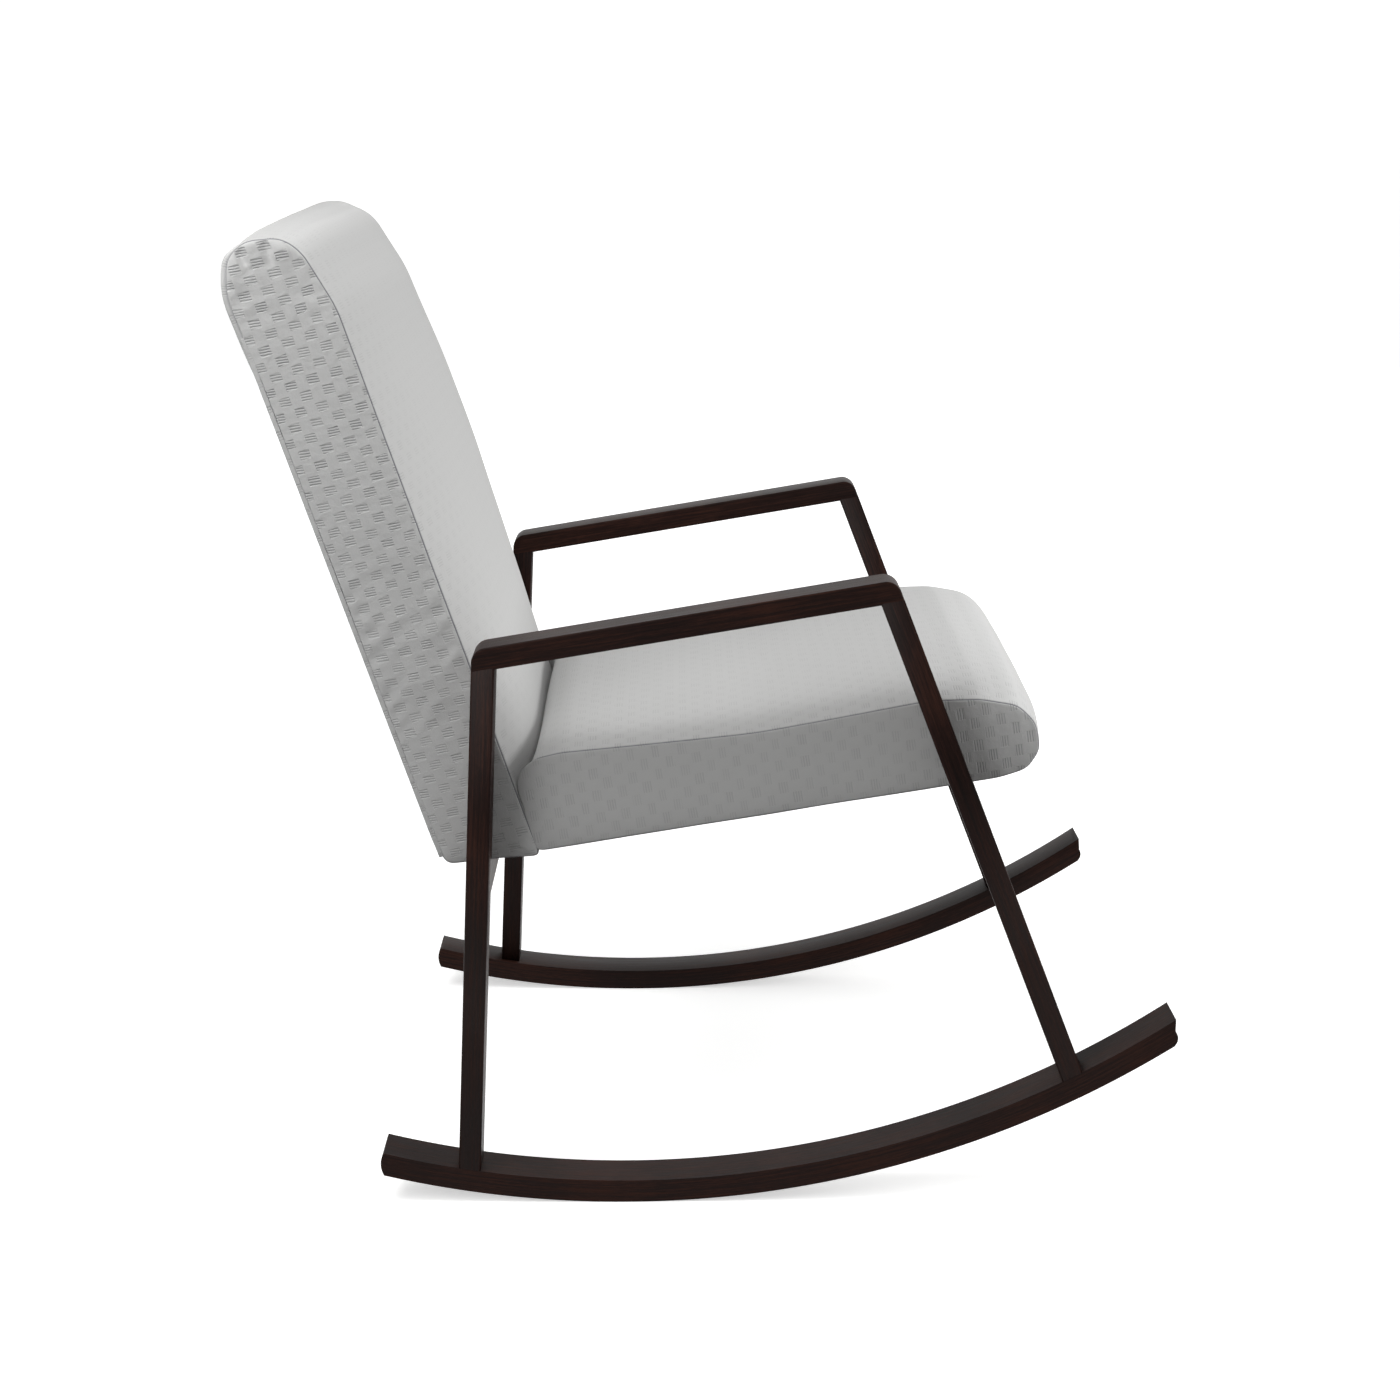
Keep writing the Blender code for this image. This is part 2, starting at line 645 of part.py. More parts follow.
def leg_bolt(place, side, sign, x, z, rail, cover, leg):
    """A bolt from inside the upholstered body, through a spacer, into a threaded insert in the leg."""
    rail_inner = BODY_HALF_WIDTH - COVER_THICK - GAP - RAIL_THICK
    leg_inner = OUTER_WIDTH / 2 - MEMBER_WIDTH
    head_y = rail_inner - GAP - BOLT_HEAD_THICK
    tip_y = leg_inner + INSERT_LENGTH - BOLT_TIP_SETBACK

    def at(y):
        return (x, sign * y, z)

    bolt = bolt_profile(tip_y - head_y)
    turned(f"{place}_leg_bolt_{side}", bolt, at(head_y), at(tip_y), steel, chair_datum)
    spacer_length = leg_inner - BODY_HALF_WIDTH - 2 * GAP
    spacer = ring_profile(SPACER_RADIUS, BOLT_RADIUS + GAP, spacer_length)
    spacer_ends = (at(BODY_HALF_WIDTH + GAP), at(leg_inner - GAP))
    turned(f"{place}_spacer_{side}", spacer, *spacer_ends, plastic, chair_datum, closed=True)
    insert = ring_profile(INSERT_RADIUS, BOLT_RADIUS + GAP, INSERT_LENGTH)
    insert_ends = (at(leg_inner + GAP), at(leg_inner + INSERT_LENGTH))
    turned(f"{place}_insert_{side}", insert, *insert_ends, brass, chair_datum, closed=True)
    bore([rail, cover], at(head_y), at(leg_inner), BOLT_RADIUS, chair_datum)
    insert_hole = (at(leg_inner - GAP), at(leg_inner + INSERT_LENGTH + 3 * GAP))
    bore([leg], *insert_hole, INSERT_RADIUS, chair_datum)


def leg_centre_x(x, lean, z):
    return x - (z - LEG_REFERENCE_Z) * math.tan(lean)


# ---------------------------------------------------------------- the chair
clear_scene()
chair = new_collection("rocking_chair")
cutters = new_collection("cutters")

wood = new_material("dark_stained_wood", (0.020, 0.010, 0.008), 0.45)
beech = new_material("beech_dowel", (0.55, 0.38, 0.22), 0.6)
timber = new_material("frame_timber", (0.50, 0.36, 0.22), 0.7)
fabric = new_material("grey_jacquard", (0.52, 0.52, 0.50), 0.9)
polyether = new_material("upholstery_foam", (0.80, 0.74, 0.55), 0.95)
webbing = new_material("elastic_webbing", (0.10, 0.10, 0.10), 0.8)
dust_cloth = new_material("dust_cloth", (0.03, 0.03, 0.03), 0.95)
steel = new_material("zinc_steel", (0.60, 0.60, 0.62), 0.35, 1.0)
brass = new_material("insert_brass", (0.70, 0.52, 0.25), 0.35, 1.0)
plastic = new_material("black_spacer", (0.02, 0.02, 0.02), 0.5)
hidden = new_material("cutter", (0.8, 0.1, 0.1), 0.5)

chair_datum = new_datum("chair_datum", (chair_shift(), 0.0), 0.0)
seat_datum = new_datum("seat_datum", SEAT_CORNER, SEAT_SLOPE, chair_datum)
back_datum = new_datum("back_datum", BACK_CORNER, BACK_RECLINE, chair_datum)

frames = {side: build_side_frame(side, sign) for side, sign in SIDES.items()}
build_cross_rail({side: frames[side]["rear"] for side in SIDES})
seat_cover, seat_rails = build_seat()
back_cover, back_stiles = build_back()
for side, sign in SIDES.items():
    front_x = leg_centre_x(FRONT_LEG_X, FRONT_LEG_LEAN, FRONT_BOLT_Z)
    rear_x = leg_centre_x(REAR_LEG_X, REAR_LEG_LEAN, REAR_BOLT_Z)
    front_leg = frames[side]["front"]
    rear_leg = frames[side]["rear"]
    leg_bolt("front", side, sign, front_x, FRONT_BOLT_Z, seat_rails[side], seat_cover, front_leg)
    leg_bolt("rear", side, sign, rear_x, REAR_BOLT_Z, back_stiles[side], back_cover, rear_leg)
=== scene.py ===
"""Upholstered rocking chair: its looks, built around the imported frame."""

import json
import math
from collections import namedtuple

import bmesh
import bpy
import numpy as np
from mathutils import Matrix, Vector, noise


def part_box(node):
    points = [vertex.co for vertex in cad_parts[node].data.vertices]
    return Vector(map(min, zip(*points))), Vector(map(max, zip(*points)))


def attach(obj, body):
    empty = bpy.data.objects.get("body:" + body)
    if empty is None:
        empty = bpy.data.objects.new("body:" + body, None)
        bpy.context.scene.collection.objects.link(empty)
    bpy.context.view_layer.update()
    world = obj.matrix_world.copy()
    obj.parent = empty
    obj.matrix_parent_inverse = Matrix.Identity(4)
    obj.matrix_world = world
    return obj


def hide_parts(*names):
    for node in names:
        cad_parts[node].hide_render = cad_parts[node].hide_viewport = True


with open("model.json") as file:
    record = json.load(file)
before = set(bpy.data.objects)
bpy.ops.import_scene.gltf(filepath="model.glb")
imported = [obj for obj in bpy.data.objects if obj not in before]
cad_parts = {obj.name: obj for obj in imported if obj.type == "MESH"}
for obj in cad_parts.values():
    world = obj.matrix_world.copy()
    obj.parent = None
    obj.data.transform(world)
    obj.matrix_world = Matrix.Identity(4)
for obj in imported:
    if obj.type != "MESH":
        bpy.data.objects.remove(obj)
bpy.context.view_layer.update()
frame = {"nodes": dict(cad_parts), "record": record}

# ---------------------------------------------------------------- the chair's own sizes, in metres
SEAT_SLOPE = math.radians(9.43)
BACK_RECLINE = math.radians(18.5)
ARM_SLOPE = math.radians(9.51)
REAR_LEG_LEAN = math.radians(-2.77)
FRONT_LEG_LEAN = math.radians(21.35)
RUNNER_RADIUS = 0.984
RUNNER_THICK = 0.0235
RUNNER_END_BULGE = 0.003  # of the domed end grain
ARM_CORNER_RADIUS = 0.015
ARM_CORNER_TURN = math.radians(78)  # from a leg's outer face to the armrest's top
WOOD_EASE = 0.0017  # of every sanded edge
BLANK_SPARE = 0.02  # a leg's extra length before its ends are cut to fit
SEAT_NOSE = 0.507  # from the seat's lower rear corner to the front of its side seam
CONTACT_X = frame["record"]["mounts"][0]["pos_m"][0]

FIGURE_WIDTH = 0.0113  # of one block of the cloth's figure
FIGURE_HEIGHT = 0.0130
RIB_PITCH = 0.0025  # the finest that still shows in a render


# ---------------------------------------------------------------- materials
def tint(code):
    """An sRGB hex value as linear RGBA."""
    channels = [int(code[i : i + 2], 16) / 255 for i in (1, 3, 5)]
    linear = [c / 12.92 if c <= 0.04045 else ((c + 0.055) / 1.055) ** 2.4 for c in channels]
    return (*linear, 1.0)


def add_node(tree, kind, settings=None, values=None, links=None):
    """One node with its settings, socket values and incoming links."""
    node = tree.nodes.new(kind)
    for key, value in (settings or {}).items():
        setattr(node, key, value)
    for key, value in (values or {}).items():
        node.inputs[key].default_value = value
    for key, source in (links or {}).items():
        tree.links.new(source, node.inputs[key])
    return node


def math_node(tree, operation, first, second=None, third=None):
    """A Math node between sockets and numbers."""
    values, links = {}, {}
    for index, item in enumerate((first, second, third)):
        if isinstance(item, (int, float)):
            values[index] = item
        elif item is not None:
            links[index] = item
    return add_node(tree, "ShaderNodeMath", {"operation": operation}, values, links).outputs[0]


def new_material(name, colour, roughness, metallic=0.0, ior=1.5):
    material = bpy.data.materials.new(name)
    material.use_nodes = True
    shader = material.node_tree.nodes["Principled BSDF"]
    shader.inputs["Base Color"].default_value = tint(colour)
    shader.inputs["Roughness"].default_value = roughness
    shader.inputs["Metallic"].default_value = metallic
    shader.inputs["IOR"].default_value = ior
    material.diffuse_color = tint(colour)
    return material, material.node_tree, shader


def stained_beech():
    """Beech stained to a dark espresso and sprayed with satin lacquer.

    It gives the eye long fine streaks under a soft broad shine.
    """
    material, tree, shader = new_material("stained_beech_satin_lacquer", "#2C2221", 0.42)
    grain = add_node(tree, "ShaderNodeAttribute", {"attribute_name": "grain"}).outputs["Vector"]
    # Streaks about 2.5 mm wide and 90 mm long.
    long_way = add_node(
        tree, "ShaderNodeMapping", values={"Scale": (11.0, 400.0, 400.0)}, links={"Vector": grain}
    ).outputs[0]
    streaks = add_node(
        tree,
        "ShaderNodeTexNoise",
        values={"Scale": 1.0, "Detail": 4.0, "Roughness": 0.6, "Distortion": 0.3},
        links={"Vector": long_way},
    ).outputs["Fac"]
    # Beech flecks, 0.5 mm wide in life and drawn 1 mm wide so that they show.
    fleck_way = add_node(
        tree, "ShaderNodeMapping", values={"Scale": (90.0, 1000.0, 1000.0)}, links={"Vector": grain}
    ).outputs[0]
    flecks = add_node(
        tree,
        "ShaderNodeTexNoise",
        values={"Scale": 1.0, "Detail": 2.0, "Roughness": 0.5},
        links={"Vector": fleck_way},
    ).outputs["Fac"]
    broad = add_node(
        tree,
        "ShaderNodeTexNoise",
        values={"Scale": 9.0, "Detail": 2.0},
        links={"Vector": grain},
    ).outputs["Fac"]
    mixed = math_node(tree, "MULTIPLY_ADD", flecks, 0.3, math_node(tree, "MULTIPLY", streaks, 0.7))
    mixed = math_node(tree, "MULTIPLY_ADD", broad, 0.35, math_node(tree, "MULTIPLY", mixed, 0.75))
    ramp = add_node(tree, "ShaderNodeValToRGB", links={"Fac": mixed})
    ramp.color_ramp.elements[0].position = 0.40
    ramp.color_ramp.elements[0].color = tint("#160D0B")
    ramp.color_ramp.elements[1].position = 0.68
    ramp.color_ramp.elements[1].color = tint("#38211A")
    middle = ramp.color_ramp.elements.new(0.53)
    middle.color = tint("#221411")
    tree.links.new(ramp.outputs["Color"], shader.inputs["Base Color"])
    rough = add_node(
        tree,
        "ShaderNodeMapRange",
        values={"From Min": 0.3, "From Max": 0.7, "To Min": 0.38, "To Max": 0.50},
        links={"Value": streaks},
    ).outputs[0]
    tree.links.new(rough, shader.inputs["Roughness"])
    bump = add_node(
        tree,
        "ShaderNodeBump",
        values={"Strength": 0.16, "Distance": 0.0006},
        links={"Height": math_node(tree, "ADD", flecks, streaks)},
    )
    tree.links.new(bump.outputs["Normal"], shader.inputs["Normal"])
    shader.inputs["Specular IOR Level"].default_value = 0.09
    return material


def blocked_seersucker():
    """Cool grey polyester and cotton seersucker woven in staggered blocks of short ribs.

    It gives the eye a matt face with a faint nap, and darker dashes where a block's ribs sink;
    painted shade darkens its seams.
    """
    material, tree, shader = new_material("blocked_seersucker_cloth", "#C9CAC8", 0.92)
    cells = add_node(tree, "ShaderNodeUVMap", {"uv_map": "weave"}).outputs[0]
    threads = add_node(tree, "ShaderNodeUVMap", {"uv_map": "threads"}).outputs[0]
    strength = add_node(tree, "ShaderNodeAttribute", {"attribute_name": "figure"}).outputs["Fac"]
    # The seam attribute holds painted shade: how far the colour is darkened in the seams' grooves.
    seam = add_node(tree, "ShaderNodeAttribute", {"attribute_name": "seam"}).outputs["Fac"]
    # The cloth is never square to its cut, so the blocks wander by a millimetre or two.
    wander = add_node(
        tree, "ShaderNodeTexNoise", values={"Scale": 14.0, "Detail": 2.0}, links={"Vector": cells}
    ).outputs["Color"]
    shifted = add_node(
        tree,
        "ShaderNodeVectorMath",
        {"operation": "MULTIPLY_ADD"},
        {1: (0.008, 0.008, 0.0)},
        {0: wander, 2: cells},
    ).outputs[0]
    split = add_node(tree, "ShaderNodeSeparateXYZ", links={"Vector": shifted})
    across = math_node(tree, "DIVIDE", split.outputs["X"], FIGURE_WIDTH)
    down = math_node(tree, "DIVIDE", split.outputs["Y"], FIGURE_HEIGHT)
    column = math_node(tree, "FLOOR", across)
    row = math_node(tree, "FLOOR", down)
    staggered = math_node(tree, "PINGPONG", math_node(tree, "ADD", column, row), 1.0)

    def window(place, margin, soft):
        """1 inside a cell and 0 within margin of its edges."""
        part = math_node(tree, "FRACT", place)
        middle = math_node(tree, "ABSOLUTE", math_node(tree, "SUBTRACT", part, 0.5))
        return add_node(
            tree,
            "ShaderNodeMapRange",
            {"interpolation_type": "SMOOTHSTEP"},
            {
                "From Min": 0.5 - margin,
                "From Max": 0.5 - margin - soft,
                "To Min": 0.0,
                "To Max": 1.0,
            },
            {"Value": middle},
        ).outputs[0]

    wide = window(across, 0.0, 0.03)
    tall = window(down, 0.14, 0.07)
    address = add_node(tree, "ShaderNodeCombineXYZ", links={"X": column, "Y": row}).outputs[0]
    chance = add_node(
        tree, "ShaderNodeTexWhiteNoise", {"noise_dimensions": "2D"}, links={"Vector": address}
    ).outputs["Value"]
    block = math_node(tree, "MULTIPLY", math_node(tree, "MULTIPLY", wide, tall), staggered)
    block = math_node(tree, "MULTIPLY", block, math_node(tree, "MULTIPLY_ADD", chance, 0.45, 0.55))
    line = add_node(tree, "ShaderNodeSeparateXYZ", links={"Vector": threads}).outputs["X"]
    # Each rib wavers by a third of its width.
    waver = add_node(
        tree, "ShaderNodeTexNoise", values={"Scale": 110.0, "Detail": 1.0}, links={"Vector": cells}
    ).outputs["Fac"]
    line = math_node(tree, "MULTIPLY_ADD", waver, 0.0008, line)
    turn = math_node(tree, "MULTIPLY", line, 2 * math.pi / RIB_PITCH)
    rib = math_node(tree, "MULTIPLY_ADD", math_node(tree, "COSINE", turn), 0.5, 0.5)
    rib = math_node(tree, "POWER", rib, 3.0)
    dash = math_node(tree, "MULTIPLY", math_node(tree, "MULTIPLY", rib, block), strength)
    # Thread bumps: 0.4 mm in life, drawn at 1.1 mm so that the cloth doesn't look like paper.
    nap = add_node(
        tree,
        "ShaderNodeTexNoise",
        values={"Scale": 900.0, "Detail": 2.0, "Roughness": 0.6},
        links={"Vector": cells},
    ).outputs["Fac"]
    shade = math_node(tree, "MULTIPLY", dash, 0.70)
    shade = math_node(tree, "MULTIPLY_ADD", math_node(tree, "SUBTRACT", nap, 0.5), 0.10, shade)
    # Painted shade: the seams' grooves darken the colour towards the dark grey below.
    shade = math_node(tree, "MULTIPLY_ADD", seam, 1.7, shade)
    ground = add_node(
        tree,
        "ShaderNodeMix",
        {"data_type": "RGBA"},
        {6: tint("#CBCBCA"), 7: tint("#7C7C80")},
        {0: math_node(tree, "MINIMUM", math_node(tree, "MAXIMUM", shade, 0.0), 1.0)},
    ).outputs[2]
    tree.links.new(ground, shader.inputs["Base Color"])
    height = math_node(tree, "SUBTRACT", 1.0, dash)
    puff = math_node(tree, "MULTIPLY", math_node(tree, "SUBTRACT", 1.0, block), strength)
    height = math_node(tree, "MULTIPLY_ADD", puff, 0.5, height)
    height = math_node(tree, "MULTIPLY_ADD", nap, 0.25, height)
    # The puffed ground between the blocks crinkles every 8 mm or so.
    crinkle = add_node(
        tree,
        "ShaderNodeTexNoise",
        values={"Scale": 125.0, "Detail": 2.0, "Roughness": 0.5},
        links={"Vector": cells},
    ).outputs["Fac"]
    height = math_node(
        tree, "MULTIPLY_ADD", math_node(tree, "MULTIPLY", crinkle, strength), 1.2, height
    )
    bump = add_node(
        tree,
        "ShaderNodeBump",
        values={"Strength": 0.50, "Distance": 0.0011},
        links={"Height": height},
    )
    tree.links.new(bump.outputs["Normal"], shader.inputs["Normal"])
    shader.inputs["Sheen Weight"].default_value = 0.18
    shader.inputs["Sheen Roughness"].default_value = 0.5
    shader.inputs["Specular IOR Level"].default_value = 0.2
    return material


def plain_wood(name, light, dark, scale):
    """Unfinished wood inside the chair: pale, dry, with its growth rings just showing."""
    material, tree, shader = new_material(name, light, 0.7)
    place = add_node(tree, "ShaderNodeTexCoord").outputs["Object"]
    stretched = add_node(
        tree, "ShaderNodeMapping", values={"Scale": scale}, links={"Vector": place}
    ).outputs[0]
    rings = add_node(
        tree,
        "ShaderNodeTexNoise",
        values={"Scale": 1.0, "Detail": 3.0, "Distortion": 0.4},
        links={"Vector": stretched},
    ).outputs["Fac"]
    mix = add_node(
        tree,
        "ShaderNodeMix",
        {"data_type": "RGBA"},
        {6: tint(dark), 7: tint(light)},
        {0: rings},
    ).outputs[2]
    tree.links.new(mix, shader.inputs["Base Color"])
    return material


def speckled(name, light, dark, roughness, scale, metallic=0.0, ior=1.5):
    """A plain finish with the slight cloudiness and roughness of its making."""
    material, tree, shader = new_material(name, light, roughness, metallic, ior)
    place = add_node(tree, "ShaderNodeTexCoord").outputs["Object"]
    cloud = add_node(
        tree,
        "ShaderNodeTexNoise",
        values={"Scale": scale, "Detail": 4.0},
        links={"Vector": place},
    ).outputs["Fac"]
    mix = add_node(
        tree,
        "ShaderNodeMix",
        {"data_type": "RGBA"},
        {6: tint(dark), 7: tint(light)},
        {0: cloud},
    ).outputs[2]
    tree.links.new(mix, shader.inputs["Base Color"])
    bump = add_node(
        tree, "ShaderNodeBump", values={"Strength": 0.2, "Distance": 0.0002}, links={"Height": cloud}
    )
    tree.links.new(bump.outputs["Normal"], shader.inputs["Normal"])
    return material


WOOD = stained_beech()
CLOTH = blocked_seersucker()
DOWEL_BEECH = plain_wood("fluted_beech_dowel", "#D9BE94", "#B99566", (500.0, 60.0, 500.0))
FRAME_PINE = plain_wood("planed_pine", "#D8B988", "#B98E58", (300.0, 20.0, 300.0))
# Bright zinc on steel: a cool mirror, clouded by its plating.
ZINC_STEEL = speckled("zinc_plated_steel", "#C6CACC", "#9EA3A6", 0.32, 900.0, metallic=1.0)
# Turned brass: warm yellow, with a soft satin shine.
BRASS = speckled("turned_brass", "#C9A65A", "#A9853E", 0.35, 900.0, metallic=1.0)
# Moulded nylon: black, and dull from the mould's grain.
NYLON = speckled("moulded_black_nylon", "#26272A", "#17181A", 0.5, 1500.0, ior=1.53)
# Spunbonded polypropylene: a matt black sheet like thin felt.
DUST_CLOTH = speckled("spunbonded_dust_cloth", "#2A2B2D", "#1A1B1C", 0.95, 1400.0)


# ---------------------------------------------------------------- placing
def tipped_box(node, pitch):
    """Low and high corners of a CAD node in a frame tipped by pitch about Y."""
    turn = Matrix.Rotation(pitch, 3, "Y")
    points = np.array([turn @ v.co for v in frame["nodes"][node].data.vertices])
    return Vector(points.min(0)), Vector(points.max(0))


def from_tipped(pitch, x, z):
    """World X and Z of a point of a tipped frame."""
    cos, sin = math.cos(pitch), math.sin(pitch)
    return x * cos - z * sin, x * sin + z * cos


def deselect_all():
    """Leaves Edit Mode and selects nothing."""
    if bpy.context.mode != "OBJECT":
        bpy.ops.object.mode_set(mode="OBJECT")
    bpy.ops.object.select_all(action="DESELECT")


def make_active(obj):
    deselect_all()
    obj.select_set(True)
    bpy.context.view_layer.objects.active = obj


def edit(obj):
    """Opens a mesh in Edit Mode with nothing selected."""
    make_active(obj)
    bpy.ops.object.mode_set(mode="EDIT")
    bpy.ops.mesh.select_all(action="DESELECT")
    return bmesh.from_edit_mesh(obj.data)


def leave_edit(obj):
    bmesh.update_edit_mesh(obj.data)
    bpy.ops.object.mode_set(mode="OBJECT")


def cube_in(low, high, pitch=0.0):
    """A cube primitive filling a box of a tipped frame, with its place in its mesh."""
    deselect_all()
    middle = (low + high) / 2
    x, z = from_tipped(pitch, middle.x, middle.z)
    bpy.ops.mesh.primitive_cube_add(size=1.0, location=(x, middle.y, z), rotation=(0, -pitch, 0))
    obj = bpy.context.object
    obj.scale = high - low
    bpy.ops.object.transform_apply(location=True, rotation=True, scale=True)
    return obj


def cut_off(obj, point, normal):
    """Cuts away what lies on the side that normal points to, and closes the cut."""
    edit(obj)
    bpy.ops.mesh.select_all(action="SELECT")
    bpy.ops.mesh.bisect(plane_co=point, plane_no=normal, use_fill=True, clear_outer=True)
    bpy.ops.object.mode_set(mode="OBJECT")


def apply_modifier(obj, kind, **settings):
    make_active(obj)
    modifier = obj.modifiers.new(kind.lower(), kind)
    for key, value in settings.items():
        setattr(modifier, key, value)
    bpy.ops.object.modifier_apply(modifier=modifier.name)


def ease_and_smooth(obj, sharp=30.0):
    """Breaks the edges sharper than this many degrees, as sandpaper does, and shades the faces."""
    apply_modifier(
        obj,
        "BEVEL",
        width=WOOD_EASE,
        segments=3,
        limit_method="ANGLE",
        angle_limit=math.radians(sharp),
    )
    make_active(obj)
    bpy.ops.object.shade_smooth_by_angle(angle=math.radians(50))
    apply_modifier(obj, "WEIGHTED_NORMAL", keep_sharp=True, weight=60)


def finish(obj, name, material, nodes, grain=None):
    """Names and paints a finished piece, hides the nodes it replaces, and rides it on the chair."""
    obj.name = name
    obj.data.name = name
    obj.data.materials.clear()
    obj.data.materials.append(material)
    if grain is not None:
        layer = obj.data.attributes.new("grain", "FLOAT_VECTOR", "POINT")
        for vertex, value in zip(obj.data.vertices, layer.data):
            value.vector = grain(vertex.co)
    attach(obj, "root")
    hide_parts(*nodes)


def mirrored(obj):
    """The opposite hand, with its own mesh and its faces turned out again."""
    make_active(obj)
    bpy.ops.object.duplicate()
    twin = bpy.context.object
    twin.scale = (1.0, -1.0, 1.0)
    bpy.ops.object.transform_apply(location=True, rotation=True, scale=True)
    edit(twin)
    bpy.ops.mesh.select_all(action="SELECT")
    bpy.ops.mesh.normals_make_consistent(inside=False)
    bpy.ops.object.mode_set(mode="OBJECT")
    return twin


TWIN_GRAIN_OFFSET = 0.37  # so that the two hands aren't cut from one stretch of grain


def both_hands(obj, stem, grain):
    """Finishes the right-hand piece and its left-hand twin."""
    twin = mirrored(obj)
    for side, piece, offset in (("right", obj, 0.0), ("left", twin, TWIN_GRAIN_OFFSET)):
        name = stem + "_" + side

        def own_grain(co, offset=offset):
            along, across, deep = grain(co)
            return along + offset, across + offset, deep

        finish(piece, "wood_" + name, WOOD, [name], own_grain)


def grain_along(pitch, upright):
    """Grain coordinates of a straight member: first along it, then across it."""

    def coordinates(co):
        turned = Matrix.Rotation(pitch, 3, "Y") @ co
        return (turned.z, turned.x, turned.y) if upright else (turned.x, turned.z, turned.y)

    return coordinates


# ---------------------------------------------------------------- the wooden sides
def under_arm():
    """A point and the normal of the plane where the legs' heads end.

    It lies just inside the armrest's eased edge.
    """
    low, _ = tipped_box("armrest_right", ARM_SLOPE)
    x, z = from_tipped(ARM_SLOPE, low.x, low.z + WOOD_EASE)
    return (x, 0.0, z), (-math.sin(ARM_SLOPE), 0.0, math.cos(ARM_SLOPE))


def make_leg(node, lean):
    """A straight leg, its head cut to the armrest and its foot to the runner."""
    low, high = tipped_box(node, lean)
    spare = Vector((0, 0, BLANK_SPARE))
    leg = cube_in(low - spare, high + spare, lean)
    ease_and_smooth(leg)
    cut_off(leg, *under_arm())
    foot_x, foot_z = from_tipped(lean, (low.x + high.x) / 2, low.z)
    spoke = Vector((foot_x - CONTACT_X, 0.0, foot_z - RUNNER_RADIUS)).normalized()
    foot = Vector((CONTACT_X, 0.0, RUNNER_RADIUS)) + spoke * (RUNNER_RADIUS - RUNNER_THICK)
    cut_off(leg, foot, spoke)
    return leg


def make_armrest():
    """A bar cut in line with the outer faces of its legs, its two upper corners rounded."""
    low, high = tipped_box("armrest_right", ARM_SLOPE)
    arm = cube_in(low, high, ARM_SLOPE)
    ends = (("rear_leg_right", REAR_LEG_LEAN, -1), ("front_leg_right", FRONT_LEG_LEAN, 1))
    for node, lean, way in ends:
        leg_low, leg_high = tipped_box(node, lean)
        side = leg_low.x if way < 0 else leg_high.x
        x, z = from_tipped(lean, side, leg_high.z)
        cut_off(arm, (x, 0.0, z), (way * math.cos(lean), 0.0, way * math.sin(lean)))
    mesh = edit(arm)
    turn = Matrix.Rotation(ARM_SLOPE, 3, "Y")
    for edge in mesh.edges:
        tips = [turn @ v.co for v in edge.verts]
        crosswise = abs(tips[0].y - tips[1].y) > 0.01
        if crosswise and min(tip.z for tip in tips) > high.z - 0.001:
            edge.select = True
    tangent = ARM_CORNER_RADIUS * math.tan(ARM_CORNER_TURN / 2)
    bpy.ops.mesh.bevel(offset=tangent, segments=10, affect="EDGES")
    leave_edit(arm)
    ease_and_smooth(arm)
    return arm


def dome_end(runner, end, way):
    """Swells the end grain of a runner cut plumb at x = end, towards way."""
    near = 1e-5
    mesh = edit(runner)
    for edge in mesh.edges:
        first, second = edge.verts[0].co, edge.verts[1].co
        at_end = abs(first.x - end) < near and abs(second.x - end) < near
        if at_end and abs(first.z - second.z) > 0.005:
            edge.select = True
    bpy.ops.mesh.subdivide(number_cuts=7)
    bmesh.update_edit_mesh(runner.data)
    mesh = bmesh.from_edit_mesh(runner.data)
    row = [v for v in mesh.verts if abs(v.co.x - end) < near]
    bottom = min(v.co.z for v in row)
    top = max(v.co.z for v in row)
    for vertex in row:
        share = (vertex.co.z - bottom) / (top - bottom)
        vertex.co.x += way * RUNNER_END_BULGE * 4 * share * (1 - share)
    leave_edit(runner)


def make_runner():
    """A flat band swept round the rocking circle and cut plumb, its end grain softly domed."""
    low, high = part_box("runner_right")
    rear_end, front_end = low.x + RUNNER_END_BULGE, high.x - RUNNER_END_BULGE
    rear = math.asin((rear_end - CONTACT_X) / RUNNER_RADIUS)
    front = math.asin((front_end - CONTACT_X) / RUNNER_RADIUS)
    spare = 0.06  # radians of band past each end before the cuts
    deselect_all()
    bpy.ops.mesh.primitive_plane_add(size=1.0, location=(0, 0, 0), rotation=(0, math.pi / 2, 0))
    runner = bpy.context.object
    runner.scale = (RUNNER_THICK, high.y - low.y, 1.0)
    bpy.ops.object.transform_apply(location=True, rotation=True, scale=True)
    middle = RUNNER_RADIUS - RUNNER_THICK / 2
    placed = Matrix.Translation((CONTACT_X, (low.y + high.y) / 2, RUNNER_RADIUS))
    placed = placed @ Matrix.Rotation(-(rear - spare), 4, "Y") @ Matrix.Translation((0, 0, -middle))
    runner.data.transform(placed)
    edit(runner)
    bpy.ops.mesh.select_all(action="SELECT")
    bpy.ops.mesh.spin(
        steps=132,
        angle=front - rear + 2 * spare,
        center=(CONTACT_X, 0.0, RUNNER_RADIUS),
        axis=(0.0, 1.0, 0.0),
    )
    bpy.ops.mesh.select_all(action="SELECT")
    bpy.ops.mesh.remove_doubles(threshold=1e-5)
    bpy.ops.object.mode_set(mode="OBJECT")
    cut_off(runner, (rear_end, 0, 0), (-1, 0, 0))
    cut_off(runner, (front_end, 0, 0), (1, 0, 0))
    dome_end(runner, rear_end, -1)
    dome_end(runner, front_end, 1)
    edit(runner)
    bpy.ops.mesh.select_all(action="SELECT")
    bpy.ops.mesh.normals_make_consistent(inside=False)
    bpy.ops.object.mode_set(mode="OBJECT")
    ease_and_smooth(runner, sharp=35.0)
    return runner


